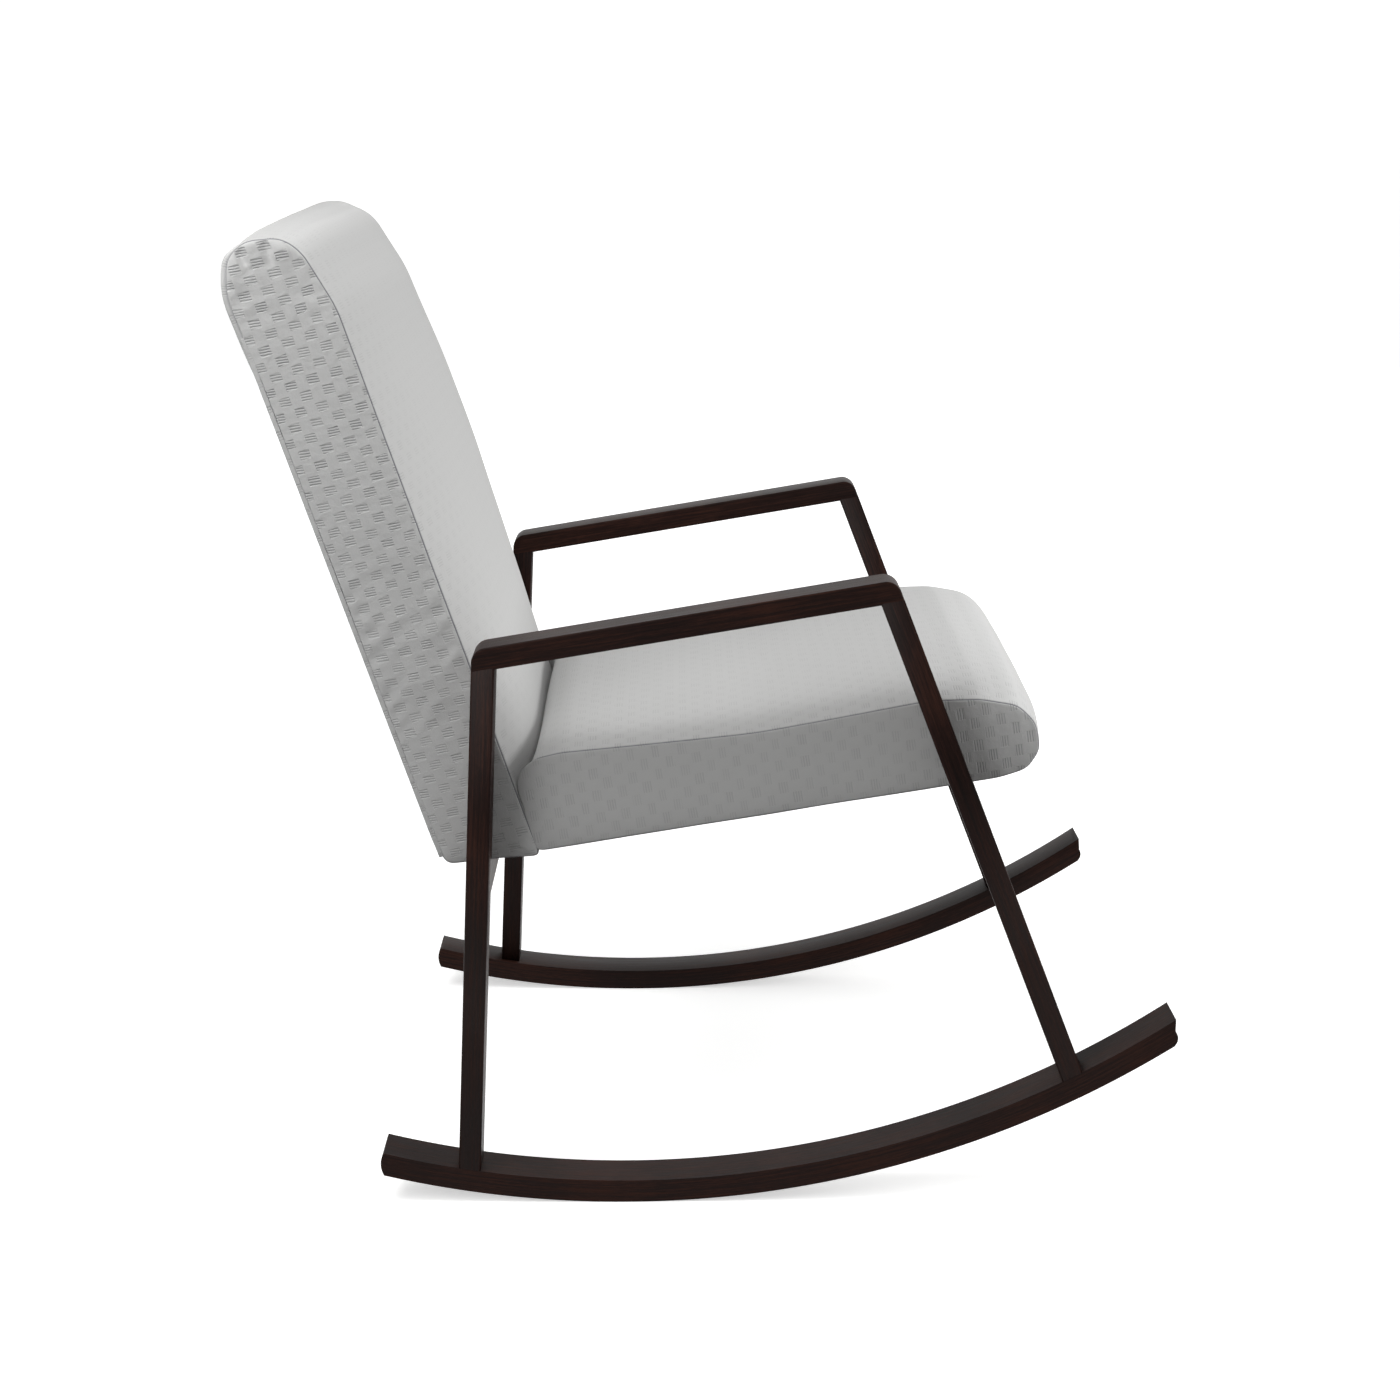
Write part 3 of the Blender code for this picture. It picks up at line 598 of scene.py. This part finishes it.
def round_the_arc(co):
    """Grain coordinates of the bent band: along the arc, then through its thickness."""
    spoke = Vector((co.x - CONTACT_X, 0.0, co.z - RUNNER_RADIUS))
    return RUNNER_RADIUS * math.atan2(spoke.x, -spoke.z), spoke.length, co.y


def grain_across(co):
    """Grain coordinates of a member that runs across the chair."""
    return co.y, co.x, co.z


def make_cross_rail():
    """The rail between the rear legs, just under the back."""
    low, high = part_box("rear_cross_rail")
    rail = cube_in(low, high)
    ease_and_smooth(rail)
    finish(rail, "wood_rear_cross_rail", WOOD, ["rear_cross_rail"], grain_across)


for leg_stem, leg_lean in (("rear_leg", REAR_LEG_LEAN), ("front_leg", FRONT_LEG_LEAN)):
    right_leg = make_leg(leg_stem + "_right", leg_lean)
    both_hands(right_leg, leg_stem, grain_along(leg_lean, True))
both_hands(make_armrest(), "armrest", grain_along(ARM_SLOPE, False))
both_hands(make_runner(), "runner", round_the_arc)
make_cross_rail()


# ---------------------------------------------------------------- upholstery forms
def rounded(corners, steps=8):
    """Rounds each corner (x, z, radius) of a counter-clockwise outline."""
    points = []
    for index, (x, z, radius) in enumerate(corners):
        here = Vector((x, z))
        back = Vector(corners[index - 1][:2]) - here
        ahead = Vector(corners[(index + 1) % len(corners)][:2]) - here
        back.normalize()
        ahead.normalize()
        half = back.angle(ahead) / 2
        tangent = radius / math.tan(half)
        centre = here + (back + ahead).normalized() * (radius / math.sin(half))
        start = here + back * tangent - centre
        end = here + ahead * tangent - centre
        sweep = start.angle_signed(end)
        for step in range(steps + 1):
            spoke = start.copy()
            spoke.rotate(Matrix.Rotation(-sweep * step / steps, 2))
            points.append(centre + spoke)
    return points


def evenly(points, count):
    """The closed outline again, in equal steps."""
    loop = [*points, points[0]]
    lengths = [0.0]
    for first, second in zip(loop, loop[1:]):
        lengths.append(lengths[-1] + (second - first).length)
    spaced = np.linspace(0.0, lengths[-1], count, endpoint=False)
    xs = np.interp(spaced, lengths, [p.x for p in loop])
    zs = np.interp(spaced, lengths, [p.y for p in loop])
    return np.column_stack([xs, zs]), spaced, lengths[-1]


def blur(values, passes):
    """Averages each value of a closed row with its neighbours."""
    for _ in range(passes):
        values = (np.roll(values, 1, 0) + 2 * values + np.roll(values, -1, 0)) / 4
    return values


def smoothstep(low, high, value):
    """0 up to low, 1 from high, and a smooth rise between."""
    share = np.clip((value - low) / (high - low), 0.0, 1.0)
    return share * share * (3 - 2 * share)


def crowned(depth, reach=0.15):
    """How much of the crown stands at this distance from the side seam."""
    share = np.clip(depth / reach, 0.0, 1.0)
    return 1 - (1 - share) ** 2.0


# Distances from the side seam of the wrapped panel's rows: close by the seam, where it curves most.
SEAM_STEPS = [0.0, 0.0012, 0.0028, 0.0052, 0.0085, 0.013, 0.0185, 0.025, 0.033, 0.042, 0.052, 0.064]
SEAM_STEPS += [0.080, 0.100, 0.123, 0.148, 0.175, 0.203, 0.232]
RING_STEPS = [0.0012, 0.0030, 0.0060, 0.0105, 0.0165]  # the same of a gusset's rings
RUNGS = 9  # spaces in each column across a gusset
SEAM_DEPTH = 0.0014  # how far the thread pulls the seam in
SEAM_LIP = 0.0008  # and towards the middle of the chair
SEAM_PAINTED_SHADE, SEAM_PAINTED_SHADE_AHEAD = 0.65, 0.35  # painted shade in the seam's groove, deeper on a face turned ahead
FIGURE_FADE = 0.045  # over which the puffed panel pulls its figure flat
SWELL_FADE = 0.011  # over which a gusset swells out of its seam


def outward(points):
    """Unit normals of a counter-clockwise outline."""
    along = np.roll(points, -1, 0) - np.roll(points, 1, 0)
    normal = np.column_stack([along[:, 1], -along[:, 0]])
    return normal / np.linalg.norm(normal, axis=1)[:, None]


Outline = namedtuple("Outline", "points normals lengths girth")
# The seam layer holds the painted shade of the seams' grooves.
Layers = namedtuple("Layers", "weave threads figure seam")


def sewn_outline(corners, count):
    """The line of a side seam: evenly spaced points, softened, with their normals."""
    points, lengths, girth = evenly(corners, count)
    points = np.column_stack([blur(points[:, 0], 1), blur(points[:, 1], 1)])
    normals = blur(outward(points), 3)
    normals /= np.linalg.norm(normals, axis=1)[:, None]
    return Outline(points, normals, lengths, girth)


def wrap_panel(mesh, layers, outline, half_width, cloth):
    """Sews the wrapped panel and gives its rows, from the right seam to the left one."""
    points, normals, lengths, girth = outline
    count = len(points)
    depths = np.array(SEAM_STEPS)
    figure_middle, figure_edge = cloth["figure"]
    stations = [-(half_width - d) for d in depths] + [0.0] + [half_width - d for d in depths[::-1]]
    rows = []
    for y in stations:
        depth = half_width - abs(y)
        lift = cloth["crown"](points, normals, depth, y / half_width)
        sunk = SEAM_DEPTH if depth == 0.0 else 0.0
        lip = -SEAM_LIP if depth == 0.0 else 0.0
        placed = points + normals * (lift - sunk)[:, None]
        row = []
        for (x, z), facing in zip(placed, normals[:, 0]):
            vertex = mesh.verts.new((x, math.copysign(abs(y) + lip, y) if y else 0.0, z))
            vertex[layers.figure] = figure_middle + figure_edge * math.exp(-depth / FIGURE_FADE)
            # Painted shade along the seam's groove, stronger on faces turned ahead.
            shade = SEAM_PAINTED_SHADE + SEAM_PAINTED_SHADE_AHEAD * facing
            vertex[layers.seam] = shade if depth == 0.0 else 0.0
            row.append(vertex)
        rows.append(row)
    for near_y, far_y, lower, upper in zip(stations, stations[1:], rows, rows[1:]):
        for i in range(count):
            j = (i + 1) % count
            face = mesh.faces.new((lower[i], lower[j], upper[j], upper[i]))
            far_v = lengths[i] + girth / count
            v_of = (lengths[i], far_v, far_v, lengths[i])
            y_of = (near_y, near_y, far_y, far_y)
            for loop, v, y in zip(face.loops, v_of, y_of):
                loop[layers.weave].uv = (y, v)
                loop[layers.threads].uv = (v, y)
    return rows


def columns_across(ring, pole, new_vertex):
    """Columns of vertices that rule the middle of a gusset, from its pole to its far end."""
    count = len(ring)
    half = count // 2
    columns = [[ring[pole]]]
    for k in range(1, half):
        top, bottom = ring[(pole - k) % count], ring[(pole + k) % count]
        places = [top.co.lerp(bottom.co, rung / RUNGS) for rung in range(1, RUNGS)]
        columns.append([top, *[new_vertex(co.x, co.y, co.z) for co in places], bottom])
    columns.append([ring[(pole + half) % count]])
    return columns


def joined(first, second):
    """The corners of the faces between two columns, where an end column is a single point."""
    if len(first) == 1:
        return [(first[0], second[r], second[r + 1]) for r in range(RUNGS)]
    if len(second) == 1:
        return [(first[r + 1], first[r], second[0]) for r in range(RUNGS)]
    return [(first[r + 1], first[r], second[r], second[r + 1]) for r in range(RUNGS)]


def sew_gusset(mesh, layers, outline, half_width, outer, side, cloth):
    """A side gusset: rings that follow the seam, then columns across the middle."""
    points, count = outline.points, len(outline.points)
    spine_low, spine_high = np.array(cloth["spine"][0]), np.array(cloth["spine"][1])
    axis = spine_high - spine_low
    share = np.clip(((points - spine_low) @ axis) / (axis @ axis), 0, 1)
    pull = spine_low + share[:, None] * axis - points
    reach = np.linalg.norm(pull, axis=1)
    pole = int(np.argmin(np.linalg.norm(points - np.array(cloth["pole"]), axis=1)))

    def new_vertex(x, y, z):
        vertex = mesh.verts.new((x, y, z))
        vertex[layers.figure] = cloth["side_figure"](x, z)
        return vertex

    rings = [outer]
    for step in RING_STEPS:
        moved = points + pull * (step / reach)[:, None]
        rings.append([new_vertex(x, side * half_width, z) for x, z in moved])
    corner_sets = []
    for ring, inner in zip(rings, rings[1:]):
        for i in range(count):
            j = (i + 1) % count
            corner_sets.append((ring[j], ring[i], inner[i], inner[j]))
    columns = columns_across(rings[-1], pole, new_vertex)
    for first, second in zip(columns, columns[1:]):
        corner_sets += joined(first, second)
    faces = [mesh.faces.new(c if side < 0 else c[::-1]) for c in corner_sets]
    for vertex in {v for face in faces for v in face.verts} - set(outer):
        place = np.array((vertex.co.x, vertex.co.z))
        depth = float(np.min(np.linalg.norm(points - place, axis=1)))
        swell = cloth["side_swell"] * (1 - math.exp(-depth / SWELL_FADE))
        vertex.co.y += side * (swell + cloth["shape_side"](place, depth))
    for face in faces:
        for loop in face.loops:
            x, z = loop.vert.co.x, loop.vert.co.z
            loop[layers.weave].uv = cloth["weave"](x, z)
            loop[layers.threads].uv = (cloth["thread_line"](x, z), 0.0)


def build_form(name, corners, count, half_width, cloth):
    """A padded body: one wrapped panel sewn to two gussets along two side seams.

    Of the entries of cloth, crown(points, normals, depth, across) gives how far the wrapped panel
    stands off the seam's own outline, where across runs from -1 at the right seam to 1 at the left;
    figure, how strongly its weave shows in the middle and what it gains at a seam; side_swell and
    shape_side(place, depth), how far a gusset stands out; spine and pole, how its mesh is laid;
    side_figure, weave and thread_line, how its weave shows and runs.
    """
    outline = sewn_outline(corners, count)
    mesh = bmesh.new()
    layers = Layers(
        mesh.loops.layers.uv.new("weave"),
        mesh.loops.layers.uv.new("threads"),
        mesh.verts.layers.float.new("figure"),
        mesh.verts.layers.float.new("seam"),
    )
    rows = wrap_panel(mesh, layers, outline, half_width, cloth)
    sew_gusset(mesh, layers, outline, half_width, rows[0], -1, cloth)
    sew_gusset(mesh, layers, outline, half_width, rows[-1], 1, cloth)
    bmesh.ops.recalc_face_normals(mesh, faces=mesh.faces)
    data = bpy.data.meshes.new(name)
    mesh.to_mesh(data)
    mesh.free()
    body = bpy.data.objects.new(name, data)
    bpy.context.scene.collection.objects.link(body)
    return body


def into_world(body, pitch, corner_x, corner_z):
    """Moves a form from its own tipped frame to its place in the chair, in its mesh."""
    turn = Matrix.Rotation(-pitch, 4, "Y")
    x, z = from_tipped(pitch, corner_x, corner_z)
    body.data.transform(Matrix.Translation((x, 0.0, z)) @ turn)


def soften(body, seed, depth, scale):
    """The slight unevenness of foam under cloth."""
    offset = Vector((seed * 7.3, seed * 3.1, seed * 5.7))
    for vertex in body.data.vertices:
        push = noise.noise(vertex.co * scale + offset) * depth
        vertex.co += vertex.normal * push


# How far the foam pushes the cloth out.
BACK_FULL = 0.0225
BACK_BELLY = 0.0045  # more of it at the small of the back
BACK_THINNING = 0.0080  # less of it towards the top
ROLL_FULL = 0.0105  # over the back's top
REAR_ROLL_FULL = 0.0055  # and down behind it
SEAT_FULL = 0.012
SEAT_FRONT_FULL = 0.003  # more of it towards the nose
SEAT_PEAK = 0.0025  # more of it along the middle
NOSE_FULL = 0.0080
# The covers were pulled on from the right, so they are fuller and squarer on the left.
SEAT_SKEW = 0.25
BACK_SKEW = 0.24
ROLL_SKEW = 0.0050
ROLL_REACH, ROLL_REACH_SKEW = 0.105, 0.055
# Puckers, pleats and creases.
NOSE_ZONE = (0.38, 0.46)
PUCKER_DEPTH = 0.0011
PLEAT_SPACING = 0.0215
PLEAT_SHIFT = 0.0670
PLEAT_DEPTH = 0.0062
CREASE_DEPTH = 0.0013


def back_crown(rise, depth):
    """How far the back's front stands off its seam: nothing where the seat holds it in."""
    belly = smoothstep(0.06, 0.22, rise) * (1 - smoothstep(0.34, 0.52, rise))
    full = BACK_FULL + BACK_BELLY * belly - BACK_THINNING * smoothstep(0.44, 0.61, rise)
    return full * crowned(depth) * smoothstep(-0.01, 0.085, rise)


def seat_crown(points, normals, depth, across):
    """How far the seat's panel stands off its seam: full above and at the nose, flat below."""
    x, z = points[:, 0], points[:, 1]
    up = np.clip(normals[:, 1], 0, 1)
    full = SEAT_FULL + SEAT_FRONT_FULL * smoothstep(0.25, 0.40, x)
    top = full * up ** 0.5 * smoothstep(-0.02, 0.05, x)
    nose = NOSE_FULL * smoothstep(0.36, 0.46, x)
    under = smoothstep(-0.97, -0.25, normals[:, 1])
    top *= 1 + SEAT_SKEW * across
    lift = np.maximum(top, nose * under) * crowned(depth, 0.11)
    lift += SEAT_PEAK * up * smoothstep(0.06, 0.20, depth)
    rear = smoothstep(0.55, 0.9, -normals[:, 0])
    # The rear wall gives way to the crown of the back, 1 mm clear of it and more towards its top.
    pressed = back_crown(z + 0.005, depth) + 0.0010 + 0.0045 * smoothstep(0.030, 0.075, z)
    hollow = np.where(x < 0.1, smoothstep(0.0, 0.7, -normals[:, 0]) * pressed, 0.0)
    return lift * (1 - rear) - hollow


def seat_side(place, depth):
    """Fine upright puckers where the cloth turns round the nose."""
    x, z = place
    nose = float(smoothstep(*NOSE_ZONE, x))
    wave = noise.noise(Vector((x * 95.0, z * 16.0, 3.3)))
    return PUCKER_DEPTH * nose * wave * math.exp(-depth / 0.03) * min(1.0, depth / 0.003)


SEAT_SEAM = [  # x, z and radius of each corner, from the seat's lower rear corner
    (-0.002, -0.001, 0.001),
    (0.462, -0.0020, 0.060),
    (0.4905, 0.0025, 0.018),
    (0.5055, 0.0200, 0.018),
    (0.5055, 0.0475, 0.022),
    (0.4905, 0.0690, 0.024),
    (0.4540, 0.0815, 0.045),
    (0.405, 0.0880, 0.080),
    (0.234, 0.0840, 0.500),
    (0.040, 0.0960, 0.080),
    (-0.0135, 0.0925, 0.028),
]
seat_low, seat_high = tipped_box("seat_cover", SEAT_SLOPE)
BODY_HALF_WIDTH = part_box("seat_cover")[1].y
seat = build_form(
    "cloth_seat",
    rounded(SEAT_SEAM),
    280,
    BODY_HALF_WIDTH - 0.0010,
    {
        "crown": seat_crown,
        "figure": (0.18, 0.32),
        "side_swell": 0.0022,
        "shape_side": seat_side,
        "spine": ((0.045, 0.044), (0.462, 0.040)),
        "pole": (-0.006, 0.045),
        "side_figure": lambda x, z: 0.38 + 0.50 * float(smoothstep(*NOSE_ZONE, x)),
        "weave": lambda x, z: (z, x),
        "thread_line": lambda x, z: x,
    },
)
into_world(seat, SEAT_SLOPE, seat_high.x - SEAT_NOSE, seat_low.z)


def back_form_crown(points, normals, depth, across):
    """How far the back's panel stands off its seam: full in front and over the rolled top."""
    z = points[:, 1]
    ahead = smoothstep(0.15, 0.9, normals[:, 0])
    top = smoothstep(0.50, 0.62, z)
    rear = smoothstep(0.2, 0.9, -normals[:, 0])
    lift = back_crown(z, depth) * ahead
    lift *= 1 + BACK_SKEW * across * (2 * smoothstep(0.10, 0.50, z) - 1)
    full = ROLL_FULL + ROLL_SKEW * across
    over = full * top * crowned(depth, ROLL_REACH - ROLL_REACH_SKEW * across) * (1 - rear)
    over += REAR_ROLL_FULL * rear * smoothstep(0.44, 0.56, z) * crowned(depth, 0.006)
    return np.maximum(lift, over * (1 - ahead) + lift * ahead)


def back_side(place, depth):
    """Puckers that run in from the seam round the top, and slack creases by the armrest."""
    x, z = place
    top = float(smoothstep(0.598, 0.626, z))
    bent = x + 0.006 * noise.noise(Vector((x * 40.0, z * 30.0, 4.2)))
    valley = max(0.0, math.cos(2 * math.pi * (bent + PLEAT_SHIFT) / PLEAT_SPACING)) ** 1.5
    pleat = 0.25 - 0.85 * valley * (0.75 + 0.5 * noise.noise(Vector((x * 60.0, 0.0, 6.6))))
    rim = float(smoothstep(0.540, 0.600, z)) * noise.noise(Vector((x * 30.0, z * 85.0, 2.4)))
    gather = top * pleat + 0.30 * rim
    fade = math.exp(-max(depth - 0.010, 0.0) / 0.024) * min(1.0, depth / 0.005)
    slack = float(smoothstep(0.10, 0.20, z) * (1 - smoothstep(0.26, 0.40, z)))
    crease = noise.noise(Vector((x * 26.0 + z * 9.0, z * 80.0 - x * 40.0, 5.0)))
    return PLEAT_DEPTH * gather * fade + CREASE_DEPTH * slack * crease * min(1.0, depth / 0.006)


BACK_SEAM = [  # x, z and radius of each corner, from the back's lower front corner
    (-0.0925, 0.0185, 0.010),
    (-0.040, 0.0080, 0.200),
    (0.000, -0.0025, 0.003),
    (0.000, 0.3000, 0.500),
    (0.0005, 0.5650, 0.120),
    (-0.0125, 0.6240, 0.045),
    (-0.0270, 0.6420, 0.030),
    (-0.0600, 0.6500, 0.030),
    (-0.0810, 0.6400, 0.026),
    (-0.0945, 0.6080, 0.070),
    (-0.0925, 0.5200, 0.300),
]
RIB_TILT = BACK_RECLINE - math.radians(10)
back_low, back_high = tipped_box("back_cover", BACK_RECLINE)
back = build_form(
    "cloth_back",
    rounded(BACK_SEAM),
    430,
    BODY_HALF_WIDTH,
    {
        "crown": back_form_crown,
        "figure": (0.10, 0.25),
        "side_swell": 0.0026,
        "shape_side": back_side,
        "spine": ((-0.045, 0.060), (-0.047, 0.592)),
        "pole": (-0.045, 0.012),
        "side_figure": lambda x, z: 0.55 + 0.60 * float(smoothstep(0.10, 0.55, z)),
        "weave": lambda x, z: (x, z),
        "thread_line": lambda x, z: z * math.cos(RIB_TILT) + x * math.sin(RIB_TILT),
    },
)
into_world(back, BACK_RECLINE, back_high.x, back_low.z)

for body, seed in ((seat, 1), (back, 2)):
    soften(body, seed, depth=0.0007, scale=11.0)
    apply_modifier(body, "SUBSURF", levels=1, render_levels=1)
    make_active(body)
    bpy.ops.object.shade_smooth()

SEAT_NODES = ["seat_cover", "seat_foam"] + [f"seat_strap_{n}" for n in (1, 2, 3, 4)]
BACK_NODES = ["back_cover", "back_foam"] + [f"back_strap_{n}" for n in (1, 2, 3, 4)]
finish(seat, "cloth_seat", CLOTH, SEAT_NODES)
finish(back, "cloth_back", CLOTH, BACK_NODES)


# ---------------------------------------------------------------- rear panel and dust cloth
PANEL_THICK = 0.0065
PANEL_TOP, PANEL_FOOT = 0.545, 0.007  # above the CAD panel's lower edge
PANEL_CROWN = 0.0045
PANEL_EDGE_ROUND = 0.0026
CLOTH_SAG = 0.0040
CLOTH_RIPPLE = 0.0004
CLOTH_THICK = 0.0008
CLOTH_DROP = 0.0022  # of the dust cloth's middle layer below the seat's cover


def make_rear_panel():
    """The padded outside back: a thin crowned slab inside the gussets' rear seams."""
    low, high = tipped_box("back_rear_panel", BACK_RECLINE)
    low.y, high.y = -BODY_HALF_WIDTH, BODY_HALF_WIDTH
    high.x = low.x + PANEL_THICK
    high.z = low.z + PANEL_TOP
    low.z += PANEL_FOOT
    panel = cube_in(low, high, BACK_RECLINE)
    edit(panel)
    bpy.ops.mesh.select_all(action="SELECT")
    bpy.ops.mesh.subdivide(number_cuts=46)
    bpy.ops.object.mode_set(mode="OBJECT")
    turn = Matrix.Rotation(BACK_RECLINE, 3, "Y")
    back_turn = turn.transposed()
    for vertex in panel.data.vertices:
        own = turn @ vertex.co
        edge = min(own.y - low.y, high.y - own.y, own.z - low.z, high.z - own.z)
        depth = (high.x - own.x) / (high.x - low.x)
        crown = PANEL_CROWN * (1 - math.exp(-edge / 0.06))
        round_off = PANEL_EDGE_ROUND * math.exp(-edge / PANEL_EDGE_ROUND)
        own.x += depth * (round_off - crown)
        vertex.co = back_turn @ own
    weave = panel.data.uv_layers.new(name="weave")
    threads = panel.data.uv_layers.new(name="threads")
    for loop in panel.data.loops:
        own = turn @ panel.data.vertices[loop.vertex_index].co
        weave.data[loop.index].uv = (own.y, own.z)
        threads.data[loop.index].uv = (own.z, own.y)
    figure = panel.data.attributes.new("figure", "FLOAT", "POINT")
    for value in figure.data:
        value.value = 0.4
    apply_modifier(panel, "BEVEL", width=0.0015, segments=2, limit_method="ANGLE")
    apply_modifier(panel, "SUBSURF", levels=1, render_levels=1)
    make_active(panel)
    bpy.ops.object.shade_smooth()
    finish(panel, "cloth_rear_panel", CLOTH, ["back_rear_panel"])


def make_dust_cloth():
    """Black spunbonded cloth stapled tight under the seat, sagging a little between its edges."""
    low, high = tipped_box("seat_dust_cover", SEAT_SLOPE)
    deselect_all()
    bpy.ops.mesh.primitive_grid_add(x_subdivisions=48, y_subdivisions=52, size=1.0)
    sheet = bpy.context.object
    length, width = high.x - low.x, high.y - low.y
    sheet.scale = (length, width, 1.0)
    bpy.ops.object.transform_apply(location=True, rotation=True, scale=True)
    for vertex in sheet.data.vertices:
        u, v = 2 * vertex.co.x / length, 2 * vertex.co.y / width
        sag = CLOTH_SAG * (1 - u * u) * (1 - v * v)
        pull = CLOTH_RIPPLE * noise.noise(vertex.co * 60.0)
        vertex.co.z -= sag + pull * (1 - max(abs(u), abs(v)) ** 4)
    x, z = from_tipped(SEAT_SLOPE, (low.x + high.x) / 2, seat_low.z - CLOTH_DROP)
    sheet.data.transform(Matrix.Translation((x, 0, z)) @ Matrix.Rotation(-SEAT_SLOPE, 4, "Y"))
    apply_modifier(sheet, "SOLIDIFY", thickness=CLOTH_THICK, offset=0.0)
    make_active(sheet)
    bpy.ops.object.shade_smooth_by_angle(angle=math.radians(50))
    finish(sheet, "dust_cloth", DUST_CLOTH, ["seat_dust_cover"])


make_rear_panel()
make_dust_cloth()

# ---------------------------------------------------------------- carried-over nodes
NODE_FINISHES = {
    "dowel": DOWEL_BEECH,
    "rail": FRAME_PINE,
    "stile": FRAME_PINE,
    "bolt": ZINC_STEEL,
    "insert": BRASS,
    "spacer": NYLON,
}
for node_name, node in frame["nodes"].items():
    for word, material in NODE_FINISHES.items():
        if word in node_name and not node.hide_render:
            node.data.materials.clear()
            node.data.materials.append(material)
            break


# ---------------------------------------------------------------- studio
FLOOR_MIDDLE, FLOOR_SIZE = (0, 1.0, 0), (16.0, 12.0, 1.0)
SWEEP_HEIGHT = 6.0
SWEEP_RADIUS = 2.5
WALLS_MIDDLE, WALLS_SIZE = (0, 1.15, 3.0), (15.8, 12.1, 6.1)
PAPER_GLOW = 0.54
WHITE = (1.0, 1.0, 1.0, 1.0)


def make_studio():
    """A sweep of white paper: the floor, and a curve up behind the chair."""
    deselect_all()
    bpy.ops.mesh.primitive_plane_add(size=1.0, location=FLOOR_MIDDLE)
    floor = bpy.context.object
    floor.scale = FLOOR_SIZE
    bpy.ops.object.transform_apply(location=True, rotation=True, scale=True)
    mesh = edit(floor)
    for edge in mesh.edges:
        edge.select = all(v.co.y > 5.0 for v in edge.verts)
    bpy.ops.mesh.extrude_region_move(TRANSFORM_OT_translate={"value": (0, 0, SWEEP_HEIGHT)})
    bmesh.update_edit_mesh(floor.data)
    mesh = bmesh.from_edit_mesh(floor.data)
    for edge in mesh.edges:
        edge.select = all(v.co.y > 5.0 and v.co.z < 0.1 for v in edge.verts)
    bpy.ops.mesh.bevel(offset=SWEEP_RADIUS, segments=16, affect="EDGES")
    leave_edit(floor)
    make_active(floor)
    bpy.ops.object.shade_smooth()
    floor.name = "studio_sweep"
    paper, _, shader = new_material("white_background_paper", "#F4F4F3", 0.9)
    shader.inputs["Emission Color"].default_value = WHITE
    shader.inputs["Emission Strength"].default_value = PAPER_GLOW
    floor.data.materials.append(paper)
    # The paper is lit apart from the chair, so it throws no light up under the seat.
    floor.visible_diffuse = False


def make_walls():
    """Pale walls round the studio that only the camera sees, so every side has a light background."""
    deselect_all()
    bpy.ops.mesh.primitive_cube_add(size=1.0, location=WALLS_MIDDLE)
    walls = bpy.context.object
    walls.scale = WALLS_SIZE
    bpy.ops.object.transform_apply(location=True, rotation=True, scale=True)
    mesh = edit(walls)
    for face in mesh.faces:
        face.select = face.normal.z < -0.9
    bpy.ops.mesh.delete(type="FACE")
    bpy.ops.mesh.select_all(action="SELECT")
    bpy.ops.mesh.flip_normals()
    bpy.ops.object.mode_set(mode="OBJECT")
    walls.name = "studio_walls"
    white, _, shader = new_material("lit_white_wall", "#FFFFFF", 0.9)
    shader.inputs["Emission Color"].default_value = WHITE
    shader.inputs["Emission Strength"].default_value = 1.0
    walls.data.materials.append(white)
    walls.visible_diffuse = False
    walls.visible_glossy = False
    walls.visible_shadow = False


def add_light(name, place, target, size, power):
    """A white rectangle of light that faces its target."""
    data = bpy.data.lights.new(name, "AREA")
    data.shape = "RECTANGLE"
    data.size, data.size_y = size
    data.energy = power
    light = bpy.data.objects.new(name, data)
    light.location = place
    light.rotation_euler = (Vector(target) - Vector(place)).to_track_quat("-Z", "Y").to_euler()
    bpy.context.scene.collection.objects.link(light)


make_studio()
make_walls()
add_light("overhead_softbox", (-0.95, -0.80, 2.00), (-0.1, 0.0, 0.60), (1.0, 1.0), 17.5)
add_light("side_softbox", (-1.3, -1.6, 1.50), (-0.35, -0.26, 0.90), (0.9, 0.9), 8.0)
add_light("front_softbox", (2.2, 0.05, 0.92), (0.0, 0.0, 0.60), (1.4, 1.0), 41.0)
add_light("backdrop_wash", (0.0, 3.4, 3.4), (0.0, 6.5, 0.6), (5.0, 1.5), 90.0)


def make_air():
    """Soft light from all round, weaker from below than from above."""
    world = bpy.data.worlds.new("studio_air")
    bpy.context.scene.world = world
    world.use_nodes = True
    tree = world.node_tree
    place = add_node(tree, "ShaderNodeTexCoord").outputs["Generated"]
    height = add_node(tree, "ShaderNodeSeparateXYZ", links={"Vector": place}).outputs["Z"]
    glow = add_node(
        tree,
        "ShaderNodeMapRange",
        values={"From Min": -0.6, "From Max": 0.8, "To Min": 0.055, "To Max": 0.44},
        links={"Value": height},
    ).outputs[0]
    tree.links.new(glow, tree.nodes["Background"].inputs["Strength"])
    tree.nodes["Background"].inputs["Color"].default_value = WHITE


def make_camera():
    """A camera a little above the top of the back, on the chair's right."""
    data = bpy.data.cameras.new("studio_camera")
    data.sensor_width = 36.0
    data.lens = 59.14
    camera = bpy.data.objects.new("studio_camera", data)
    camera.location = (-0.0344, -2.4293, 1.0814)
    camera.rotation_euler = (math.radians(75.27), 0.0, math.radians(-0.514))
    bpy.context.scene.collection.objects.link(camera)
    bpy.context.scene.camera = camera


make_air()
make_camera()
bpy.context.scene.view_settings.view_transform = "Standard"
